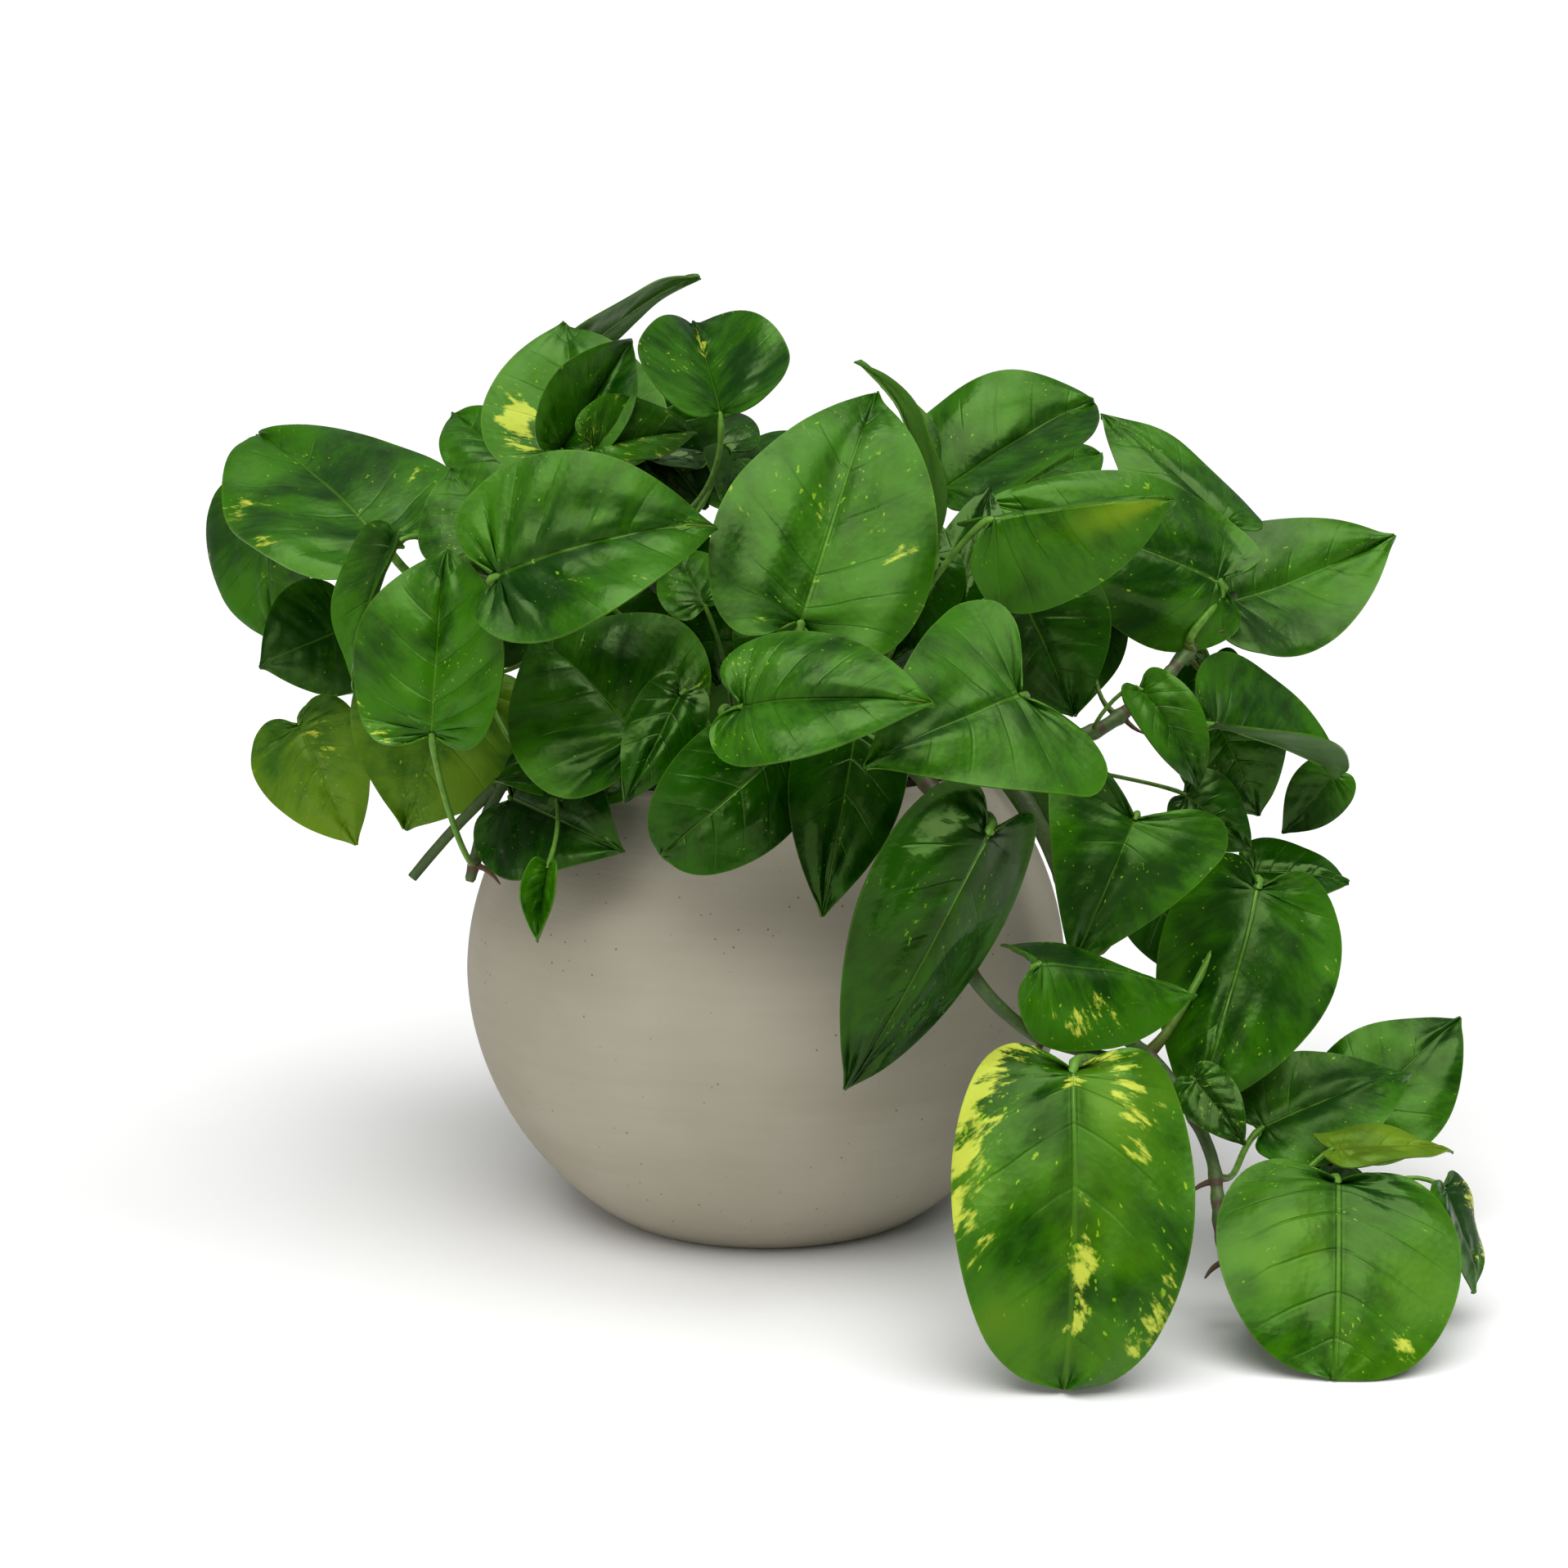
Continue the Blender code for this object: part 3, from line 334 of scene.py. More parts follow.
# Smaller leaves and young growth that fill the bush between the main leaves.
SMALL_LEAVES: dict[str, Leaf] = {
    "crown_left": Leaf("vine_crown", 0.85, (-0.090, 0.050, 0.247), (-0.113, 0.080, 0.265),
                       (-0.1, -0.8, 0.6), 0.034),
    "crown_slip": Leaf("vine_crown", 0.92, (-0.056, -0.010, 0.254), (-0.022, 0.010, 0.259),
                       (0, -0.9, 0.5), 0.030, fold=(40, 20)),
    "crown_inner": Leaf("vine_crown", 0.95, (-0.010, 0.0, 0.250), (-0.013, -0.020, 0.238),
                        (0.3, -0.9, 0.2), 0.022),
    "front_inner": Leaf("vine_front", 0.35, (-0.019, -0.040, 0.206), (-0.030, -0.020, 0.223),
                        (0, -0.9, 0.3), 0.024),
    "left_under": Leaf("vine_left_trailing", 0.50, (-0.044, -0.060, 0.158), (-0.082, -0.070, 0.156),
                       (0, -0.7, 0.7), 0.030),
    "left_bud": Leaf("vine_left_trailing", 0.70, (-0.063, -0.105, 0.135), (-0.066, -0.110, 0.114),
                     (-0.2, -1, 0), 0.016, fold=(50, 50)),
    "middle_under": Leaf("vine_middle", 0.80, (0.050, -0.040, 0.222), (0.040, -0.050, 0.190),
                         (0, -1, 0.2), 0.030, tone=Tone.DARK),
    "right_peak": Leaf("vine_middle", 0.99, (0.091, 0.070, 0.239), (0.123, 0.100, 0.250),
                       (0, -0.8, 0.6), 0.030),
    "outer_small": Leaf("vine_right_rising", 0.85, (0.196, 0.030, 0.141), (0.179, 0.030, 0.120),
                        (0.2, -1, 0.3), 0.022),
    "outer_under": Leaf("vine_right_rising", 0.80, (0.154, 0.020, 0.159), (0.169, 0.020, 0.128),
                        (0.1, -1, 0.2), 0.040),
    "right_inner": Leaf("vine_right_rising", 0.50, (0.135, -0.030, 0.144), (0.157, -0.030, 0.126),
                        (0, -0.8, 0.5), 0.026, tone=Tone.DARK),
    "right_inner_low": Leaf("vine_right_trailing", 0.50, (0.123, -0.030, 0.119), (0.139, -0.030, 0.082),
                            (0.1, -1, 0), 0.030, tone=Tone.DARK),
    "floor_tip": Leaf("vine_right_trailing", 0.99, (0.179, -0.130, 0.010), (0.192, -0.130, 0.004),
                      (0, -0.5, 0.8), 0.012),
    "floor_upper": Leaf("vine_right_trailing", 0.78, (0.128, -0.100, 0.070), (0.142, -0.110, 0.053),
                        (0, -1, 0.3), 0.018, tone=Tone.DARK),
    "floor_inner": Leaf("vine_right_trailing", 0.90, (0.170, -0.070, 0.030), (0.195, -0.060, 0.020),
                        (0, -0.6, 0.8), 0.026, tone=Tone.DARK),
    "fill_crown": Leaf("vine_crown", 0.80, (-0.005, 0.040, 0.232), (0.022, 0.078, 0.258),
                       (0.1, -0.2, 1), 0.052),
    "fill_top": Leaf("vine_middle", 0.70, (0.036, 0.044, 0.222), (0.010, 0.092, 0.226), (0.1, 0.3, 0.9),
                     0.056),
    "fill_left": Leaf("vine_crown", 0.50, (-0.040, 0.056, 0.205), (-0.062, 0.104, 0.218),
                      (-0.2, 0.4, 0.8), 0.054),
    "fill_right": Leaf("vine_right_rising", 0.52, (0.074, 0.040, 0.192), (0.104, 0.076, 0.202),
                       (0.2, 0.2, 0.9), 0.050),
    "fill_outer": Leaf("vine_right_rising", 0.93, (0.140, 0.040, 0.196), (0.170, 0.080, 0.196),
                       (0.3, 0.2, 0.9), 0.044),
    "fill_left_low": Leaf("vine_left_rising", 0.50, (-0.072, 0.040, 0.186), (-0.112, 0.064, 0.186),
                          (-0.3, 0.2, 0.9), 0.050),
    "fill_back_right": Leaf("vine_back", 0.62, (0.080, 0.098, 0.150), (0.112, 0.118, 0.100),
                            (0.5, 0.8, 0.2), 0.054),
    "fill_back_left": Leaf("vine_back", 0.45, (-0.040, 0.098, 0.176), (-0.074, 0.124, 0.122),
                           (-0.4, 0.8, 0.2), 0.056),
    # These inner fillers take the dark tone: painted shade deep inside the bush.
    "fill_front": Leaf("vine_middle", 0.34, (0.022, -0.022, 0.180), (0.054, -0.052, 0.182),
                       (0, -0.5, 0.9), 0.050, tone=Tone.DARK),
    "fill_front_left": Leaf("vine_left_rising", 0.30, (-0.030, -0.030, 0.184), (-0.058, -0.056, 0.186),
                            (0, -0.5, 0.9), 0.048, tone=Tone.DARK),
    "inner_left": Leaf("vine_left_rising", 0.66, (-0.081, 0.010, 0.215), (-0.106, 0.000, 0.180),
                       (-0.1, -1, 0.3), 0.056, tone=Tone.DARK),
    "inner_crown": Leaf("vine_crown", 0.30, (-0.066, 0.020, 0.201), (-0.036, 0.020, 0.174),
                        (0.1, -1, 0.2), 0.056, tone=Tone.DARK),
    "inner_middle": Leaf("vine_middle", 0.40, (0.017, 0.0, 0.190), (-0.004, 0.010, 0.215), (0, -1, 0.3),
                         0.050, tone=Tone.DARK),
    "inner_centre": Leaf("vine_crown", 0.36, (-0.040, 0.030, 0.208), (-0.016, 0.030, 0.172),
                         (0.1, -1, 0.2), 0.062, tone=Tone.DARK),
    "inner_top": Leaf("vine_crown", 0.55, (-0.046, 0.040, 0.262), (-0.020, 0.040, 0.232),
                      (0.1, -1, 0.3), 0.050, tone=Tone.DARK),
    "inner_right": Leaf("vine_middle", 0.62, (0.083, -0.018, 0.206), (0.100, -0.020, 0.168),
                        (0.1, -1, 0.1), 0.050, tone=Tone.DARK),
    "fill_inner_right": Leaf("vine_right_rising", 0.36, (0.072, 0.020, 0.172), (0.108, 0.044, 0.168),
                             (0.1, -0.2, 1), 0.046, tone=Tone.DARK),
}

# What single leaves show; the others have the usual few flecks.
LOOKS: dict[str, Look] = {
    "crown_back": Look(cream=0.15, wave=0.01),
    "crown_round": Look(cream=0.05, patches=(Patch(0.62, 0.50, 0.26, cream=0.95),)),
    "crown_heart": Look(cream=0.05, patches=(Patch(0.05, 0.85, 0.22, cream=0.7),)),
    "crown_slip": Look(cream=0.30),
    "left_top": Look(cream=0.10, patches=(Patch(-0.5, 0.25, 0.40, cream=0.35),
                                          Patch(0.9, 0.5, 0.25, cream=0.4))),
    "left_drooping": Look(cream=0.20, patches=(Patch(0.6, 0.5, 0.3, cream=0.35),)),
    "left_narrow": Look(patches=(Patch(0.2, 0.4, 0.2, cream=0.6),)),
    "front_ribbed": Look(cream=0.10, ribs=0.0017, wave=0.03, cup=0.10,
                         patches=(Patch(0.0, 1.0, 0.16, yellow=0.9, brown=0.40),)),
    "left_front": Look(cream=0.08, ribs=0.0010, patches=(Patch(0.9, 0.2, 0.25, cream=0.6),)),
    "front_folded": Look(cream=0.04, ribs=0.0010, patches=(Patch(-0.8, 0.3, 0.25, cream=0.45),)),
    "left_olive": Look(cream=0.10, yellow=0.05),
    "left_olive_outer": Look(cream=0.12, yellow=0.10, patches=(Patch(0.3, 0.5, 0.25, cream=0.5),)),
    "middle_large": Look(cream=0.20, cup=0.12),
    "middle_rolled": Look(cream=0.1, yellow=0.1),
    "right_spotted": Look(cream=0.0, patches=(Patch(-0.3, 0.85, 0.30, yellow=0.4, brown=0.18),)),
    "front_crest": Look(cream=0.12, patches=(Patch(0.0, 1.0, 0.15, yellow=0.8),)),
    "front_heart": Look(cream=0.0, cup=0.10),
    "front_drooping": Look(cream=0.05, wave=0.04, curl=0.03),
    "right_low": Look(cream=0.08, ribs=0.0011, patches=(Patch(-0.3, 0.95, 0.25, cream=0.35),)),
    "right_wide": Look(cream=0.05, patches=(Patch(-0.6, 0.5, 0.3, cream=0.55),)),
    "floor_variegated": Look(cream=0.08, yellow=0.10,
                             patches=(Patch(-1.0, 0.32, 0.42, cream=0.92),
                                      Patch(0.10, 0.80, 0.18, cream=0.72),
                                      Patch(0.60, 0.10, 0.34, cream=0.62),
                                      Patch(0.50, 0.42, 0.20, cream=0.55),
                                      Patch(0.92, 0.72, 0.18, cream=0.60),
                                      Patch(0.0, 0.40, 0.10, cream=0.60))),
    "floor_round": Look(cream=0.04, yellow=0.10, cup=0.08,
                        patches=(Patch(0.10, 0.55, 0.14, cream=0.45),
                                      Patch(0.85, 0.85, 0.20, cream=0.5))),
    "floor_grey": Look(cream=0.06),
    "floor_pale": Look(cream=0.1, yellow=0.35),
    "floor_outer": Look(cream=0.1, patches=(Patch(0.9, 0.5, 0.4, cream=0.7),)),
    "floor_upper": Look(cream=0.30),
}


class Value:
    """A shader socket that takes part in Python arithmetic, adding a Math node for each operation."""

    def __init__(self, finish: Finish, socket: Any) -> None:
        """Wrap one output socket of a finish's nodes."""
        self.finish = finish
        self.socket = socket

    def math(self, operation: str, *values: Value | float) -> Value:
        """Math node of an operation on the given values, in their order."""
        return self.finish.node("ShaderNodeMath", {"operation": operation}, dict(enumerate(values)))

    def __add__(self, other: Value | float) -> Value:
        """Sum."""
        return self.math("ADD", self, other)

    def __radd__(self, other: float) -> Value:
        """Sum with a number first."""
        return self.math("ADD", other, self)

    def __sub__(self, other: Value | float) -> Value:
        """Difference."""
        return self.math("SUBTRACT", self, other)

    def __rsub__(self, other: float) -> Value:
        """Difference with a number first."""
        return self.math("SUBTRACT", other, self)

    def __mul__(self, other: Value | float) -> Value:
        """Product."""
        return self.math("MULTIPLY", self, other)

    def __rmul__(self, other: float) -> Value:
        """Product with a number first."""
        return self.math("MULTIPLY", other, self)

    def __truediv__(self, other: Value | float) -> Value:
        """Quotient."""
        return self.math("DIVIDE", self, other)

    def __abs__(self) -> Value:
        """Absolute value."""
        return self.math("ABSOLUTE", self)

    def __gt__(self, other: float) -> Value:
        """1 where the value is above a number."""
        return self.math("GREATER_THAN", self, other)

    def __lt__(self, other: float) -> Value:
        """1 where the value is below a number."""
        return self.math("LESS_THAN", self, other)

    def fract(self) -> Value:
        """Fractional part."""
        return self.math("FRACT", self)

    def smooth(self, low: float, high: float) -> Value:
        """Smooth step, falling where high is the smaller.

        Args:
            low: value at which the step is 0.
            high: value at which the step is 1.

        Returns:
            The step, from 0 to 1.
        """
        ends = {"Value": self, "From Min": min(low, high), "From Max": max(low, high),
                "To Min": float(low > high), "To Max": float(low <= high)}
        return self.finish.node("ShaderNodeMapRange", {"interpolation_type": "SMOOTHSTEP"}, ends)


class Finish:
    """A procedural material: a Principled surface with what varies over it built from nodes."""

    def __init__(self, name: str) -> None:
        """Start a material with an empty pattern.

        Args:
            name: the material's name.
        """
        self.material = bpy.data.materials.new(name)
        self.material.use_nodes = True
        self.tree = self.material.node_tree
        self.shader = self.tree.nodes["Principled BSDF"]

    def feed(self, socket: Any, value: Any) -> None:
        """Link a value to a socket, or set a number, vector or colour on it.

        Args:
            socket: the input socket.
            value: a wrapped output, or what the socket holds.
        """
        if isinstance(value, Value):
            self.tree.links.new(value.socket, socket)
        elif socket.type == "RGBA":
            socket.default_value = (*value, 1.0)
        else:
            socket.default_value = value

    def node(self, kind: str, settings: dict[str, Any] | None = None, sockets: dict[Any, Any] | None = None,
             out: int | str = 0) -> Value:
        """Add one node.

        Args:
            kind: the node's type.
            settings: its properties, set before its sockets.
            sockets: values or links, by the socket's place, identifier or name.
            out: place, identifier or name of the output to hand back.

        Returns:
            The output socket, wrapped.
        """
        made = self.tree.nodes.new(kind)
        for key, value in (settings or {}).items():
            setattr(made, key, value)
        for key, value in (sockets or {}).items():
            self.feed(self.find(made.inputs, key), value)
        return Value(self, self.find(made.outputs, out))

    @staticmethod
    def find(sockets: Any, key: int | str) -> Any:
        """Look up a socket.

        Args:
            sockets: a node's inputs or outputs.
            key: the socket's place, identifier or name.

        Returns:
            The socket.
        """
        if isinstance(key, int):
            return sockets[key]
        return next(socket for socket in sockets if key in (socket.identifier, socket.name))

    def blend(self, share: Value | float, a: Any, b: Any, kind: str = "MIX") -> Value:
        """Colour a turned into colour b by a share."""
        return self.node("ShaderNodeMix", {"data_type": "RGBA", "blend_type": kind},
                         {"Factor_Float": share, "A_Color": a, "B_Color": b}, "Result_Color")

    def place(self) -> Value:
        """Coordinates on the piece, in metres."""
        return self.node("ShaderNodeTexCoord", out="Object")

    def vector(self, x: Value | float, y: Value | float, z: Value | float) -> Value:
        """Vector from three values."""
        return self.node("ShaderNodeCombineXYZ", sockets={0: x, 1: y, 2: z})

    def sum(self, a: Value, b: Value) -> Value:
        """Sum of two vectors."""
        return self.node("ShaderNodeVectorMath", {"operation": "ADD"}, {0: a, 1: b})

    def scaled(self, a: Value, size: float) -> Value:
        """Vector times a number."""
        return self.node("ShaderNodeVectorMath", {"operation": "SCALE"}, {0: a, "Scale": size})

    def split(self, vector: Value) -> list[Value]:
        """The three parts of a vector or colour."""
        return [self.node("ShaderNodeSeparateXYZ", sockets={0: vector}, out=k) for k in range(3)]

    def noise(self, vector: Value, scale: float, detail: float = 2.0, rough: float = 0.5) -> Value:
        """Noise from 0 to 1."""
        return self.node("ShaderNodeTexNoise", sockets={"Vector": vector, "Scale": scale, "Detail": detail,
                                                        "Roughness": rough})

    def cells(self, vector: Value, scale: float, out: str = "Distance") -> Value:
        """Distance from, or colour of, the nearest of many scattered points."""
        return self.node("ShaderNodeTexVoronoi", sockets={"Vector": vector, "Scale": scale}, out=out)

    def dress(self, colour: Value, roughness: Value | float, relief: Value | None = None,
              depth: float = 0.0005, strength: float = 0.4, **fixed: Any) -> None:
        """Join the pattern to the surface.

        Args:
            colour: base colour.
            roughness: roughness.
            relief: height pattern for the bump.
            depth: height of the bump in metres.
            strength: strength of the bump.
            fixed: numbers and colours that are the same all over, by socket name with _ for a space.
        """
        self.feed(self.shader.inputs["Base Color"], colour)
        self.feed(self.shader.inputs["Roughness"], roughness)
        if relief is not None:
            bump = self.node("ShaderNodeBump", sockets={"Height": relief, "Distance": depth,
                                                        "Strength": strength})
            self.feed(self.shader.inputs["Normal"], bump)
        for key, value in fixed.items():
            self.feed(self.shader.inputs[key.replace("_", " ")], value)


@dataclass(frozen=True)
class LeafColours:
    """Colours of one tone of leaf."""

    deep: Colour
    light: Colour
    # rib is the darker green painted as shade in the rib creases.
    rib: Colour
    fleck: Colour
    cream: Colour
    under: Colour
    stalk: Colour = (0.110, 0.240, 0.030)
    gloss: float = 0.36


COLOURS = {
    Tone.GREEN: LeafColours((0.001, 0.026, 0.0), (0.025, 0.122, 0.0), (0.004, 0.050, 0.0),
                            (0.210, 0.380, 0.010), (0.500, 0.550, 0.060), (0.045, 0.130, 0.012)),
    # The dark tone is painted shade: the leaf green made darker for leaves that sit in the bush's shade.
    Tone.DARK: LeafColours((0.0005, 0.012, 0.0), (0.008, 0.058, 0.0), (0.002, 0.024, 0.0),
                           (0.080, 0.220, 0.004), (0.300, 0.400, 0.040), (0.018, 0.070, 0.006), gloss=0.27),
    Tone.OLD: LeafColours((0.008, 0.060, 0.0), (0.078, 0.160, 0.002), (0.030, 0.090, 0.002),
                          (0.250, 0.330, 0.010), (0.480, 0.500, 0.050), (0.090, 0.160, 0.018), gloss=0.42),
}


class LeafFinish(Finish):
    """Waxy leaf: ribs with streaks and flecks along them, painted shade in the rib creases and at the sinus,
    a pale margin, a matt underside, a stalk.
    """

    RIBS = 9

    def __init__(self, tone: Tone) -> None:
        """Build the finish of one tone.

        Args:
            tone: which of the leaf colours to use.
        """
        super().__init__(f"grown_{tone.value}")
        look = COLOURS[tone]
        u, v, _ = self.split(self.node("ShaderNodeUVMap", {"uv_map": UV}))
        cream, yellow, brown = self.split(self.node("ShaderNodeAttribute", {"attribute_name": GROWTH}))
        under = u > 0.5
        across = (u - under * 0.55) * (2 / 0.45) - 1
        edge = abs(across)
        along = (v - 0.2) * 1.25
        stalk = v < 0.185
        place = self.place()
        broad, fine = self.noise(place, 30), self.noise(place, 420, 3)
        apart = 0.5 - abs((along * self.RIBS + (broad - 0.5) * edge * 0.6).fract() - 0.5)
        rib = apart.smooth(0.060, 0.0) * broad.smooth(0.35, 0.60)
        breadth = 1.06 - (along * 2 - 1) * (along * 2 - 1)
        midrib = (edge * breadth).smooth(0.036, 0.010)
        drift = self.scaled(place, 11)
        streak = self.noise(self.sum(self.vector(along * 21, across * 2.4, 0), drift), 1.0, 4, 0.66)
        fleck = self.noise(self.sum(self.vector(along * 62, across * 15, 0), drift), 1.0, 2)
        where = self.noise(place, 48, 1)
        sheen = self.noise(self.sum(self.scaled(place, 34), self.vector(along * 2, 0, 0)), 1.0, 3, 0.6)
        creamy = (streak + cream * 0.40).smooth(0.71, 0.83)
        flecked = (fleck + cream * 0.14 + where * 0.34).smooth(0.90, 0.95)
        aged = (yellow + broad * 0.7 - 0.25).smooth(0.15, 0.85)
        burnt = (brown + fine * 0.45 + broad * 0.3 - 0.35).smooth(0.50, 0.62)
        # Painted shade: the blade turns to its deep green towards the sinus at its base, where the cupped
        # blade shades itself.
        painted_sinus_shade = along.smooth(0.34, 0.04) * edge.smooth(0.90, 0.10)
        mottle = (broad * 0.70 + streak * 0.40 + edge * 0.08 - 0.04).smooth(0.41, 0.68)
        colour = self.blend(mottle, look.deep, look.light)
        colour = self.blend(painted_sinus_shade * 0.85, colour, look.deep)
        # Painted shade: the sunken rib creases are coloured a darker green.
        colour = self.blend(rib * (1 - edge * edge) * 0.30, colour, look.rib)
        colour = self.blend(aged * (yellow > 0.02), colour, (0.200, 0.290, 0.008))
        colour = self.blend(flecked * 0.80, colour, look.fleck)
        colour = self.blend(creamy * 0.92, colour, look.cream)
        colour = self.blend(midrib * 0.30, colour, (0.080, 0.200, 0.010))
        colour = self.blend(edge.smooth(0.978, 0.996) * 0.16, colour, (0.140, 0.260, 0.020))
        colour = self.blend(under * 0.75, colour, look.under)
        colour = self.blend(burnt, colour, (0.085, 0.036, 0.012))
        stem = self.blend(fine.smooth(0.3, 0.7), look.stalk, (0.070, 0.170, 0.020))
        stem = self.blend(v.smooth(0.045, 0.0), stem, (0.090, 0.090, 0.025))
        colour = self.blend(stalk, colour, stem)
        relief = fine * 0.20 + self.cells(place, 430) * 0.25 - rib * (1 - edge * edge) * 0.6 - midrib * 0.8
        rough = look.gloss - 0.09 + sheen.smooth(0.35, 0.65) * 0.22 + under * 0.22 + burnt * 0.2
        self.dress(colour, rough, relief, 0.0007, 0.45, Specular_IOR_Level=0.50,
                   Specular_Tint=(0.55, 1.0, 0.26))


class ClayFinish(Finish):
    """Matt stoneware with faint throwing lines, soft mottling and small dark grains."""

    def __init__(self) -> None:
        """Build the finish."""
        super().__init__("stoneware")
        place = self.place()
        x, y, z = self.split(place)
        lines = self.noise(self.vector(x * 3, y * 3, z * 520 + self.noise(place, 22) * 3), 1.0, 2)
        broad, fine = self.noise(place, 16, 3), self.noise(place, 900, 2)
        cloud = self.noise(self.vector(x, y, z * 5), 11, 3)
        grain = self.cells(place, 330).smooth(0.16, 0.09) * (self.noise(place, 210, 1) > 0.60)
        colour = self.blend(broad.smooth(0.3, 0.7), (0.340, 0.310, 0.238), (0.385, 0.355, 0.280))
        colour = self.blend(cloud.smooth(0.42, 0.72) * 0.5, colour, (0.316, 0.286, 0.214))
        colour = self.blend(lines.smooth(0.35, 0.75) * 0.10, colour, (0.300, 0.268, 0.198))
        colour = self.blend(grain * 0.75, colour, (0.120, 0.085, 0.050))
        self.dress(colour, 0.70 + fine * 0.12, lines * 0.5 + fine * 0.5 + broad, 0.0005, 0.20,
                   Specular_IOR_Level=0.30)


class SoilFinish(Finish):
    """Damp, crumbly potting soil."""

    def __init__(self) -> None:
        """Build the finish."""
        super().__init__("potting_soil_earth")
        place = self.place()
        broad, fine = self.noise(place, 60, 4, 0.6), self.noise(place, 520, 4, 0.7)
        colour = self.blend(broad.smooth(0.3, 0.7), (0.022, 0.014, 0.009), (0.060, 0.038, 0.022))
        colour = self.blend(fine.smooth(0.55, 0.75) * 0.6, colour, (0.110, 0.072, 0.042))
        self.dress(colour, 0.88 + fine * 0.1, fine + broad, 0.0012, 0.8)


class GrainFinish(Finish):
    """Pale perlite and bark crumbs that lie on the soil."""

    def __init__(self) -> None:
        """Build the finish."""
        super().__init__("soil_grains")
        place = self.place()
        kind, fine = self.noise(place, 130, 1), self.noise(place, 700, 3)
        colour = self.blend(kind.smooth(0.50, 0.56), (0.070, 0.040, 0.022), (0.500, 0.470, 0.400))
        colour = self.blend(fine.smooth(0.4, 0.7) * 0.4, colour, (0.110, 0.080, 0.055))
        self.dress(colour, 0.85 + fine * 0.1, fine, 0.0005, 0.6)


class VineFinish(Finish):
    """Green stem that turns brown at its nodes, with fine lengthwise marks, and brown aerial roots."""

    def __init__(self) -> None:
        """Build the finish."""
        super().__init__("vine_skin")
        node, root, age = self.split(self.node("ShaderNodeAttribute", {"attribute_name": GROWTH}))
        place = self.place()
        broad, fine = self.noise(place, 45, 2), self.noise(place, 600, 3)
        colour = self.blend(broad.smooth(0.3, 0.7), (0.026, 0.070, 0.008), (0.070, 0.130, 0.020))
        colour = self.blend(fine.smooth(0.45, 0.7) * 0.40, colour, (0.030, 0.040, 0.010))
        colour = self.blend(age * 0.40, colour, (0.050, 0.045, 0.016))
        colour = self.blend((node + fine * 0.5 - 0.25).smooth(0.2, 0.7), colour, (0.070, 0.045, 0.020))
        colour = self.blend(root, colour, (0.105, 0.060, 0.030))
        self.dress(colour, 0.46 + fine * 0.15 + root * 0.3, fine + node * 0.4, 0.0005, 0.5)


class FloorFinish(Finish):
    """Plain pale studio floor."""

    def __init__(self) -> None:
        """Build the finish."""
        super().__init__("studio_floor")
        tint = self.noise(self.place(), 1.5)
        self.dress(self.blend(tint, (0.86, 0.86, 0.855), (0.89, 0.89, 0.885)), 0.9)


def finished(name: str, bm: BMesh, finish: Finish, stands_for: Sequence[str] = (),
             sharp: float = 60) -> bpy.types.Object:
    """Turn a bmesh into a piece that rides on the root body.

    Args:
        name: the piece's name.
        bm: its shape, which is freed.
        finish: its material.
        stands_for: CAD nodes that it replaces.
        sharp: edges that turn more than this many degrees stay crisp.

    Returns:
        The piece.
    """
    mesh = bpy.data.meshes.new(name)
    bm.to_mesh(mesh)
    bm.free()
    mesh.materials.append(finish.material)
    mesh.shade_smooth()
    mesh.set_sharp_from_angle(angle=radians(sharp))
    piece = bpy.data.objects.new(name, mesh)
    bpy.context.scene.collection.objects.link(piece)
    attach(piece, "root")
    if stands_for:
        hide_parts(*stands_for)
    LOG.info("%s: %d faces", name, len(mesh.polygons))
    return piece


def grown_layers(bm: BMesh) -> tuple[Any, Any]:
    """Find the layers of a plant's mesh, and add them where missing.

    Args:
        bm: the mesh.

    Returns:
        The UV layer and the growth attribute.
    """
    uv = bm.loops.layers.uv.get(UV) or bm.loops.layers.uv.new(UV)
    growth = bm.verts.layers.float_color.get(GROWTH) or bm.verts.layers.float_color.new(GROWTH)
    return uv, growth


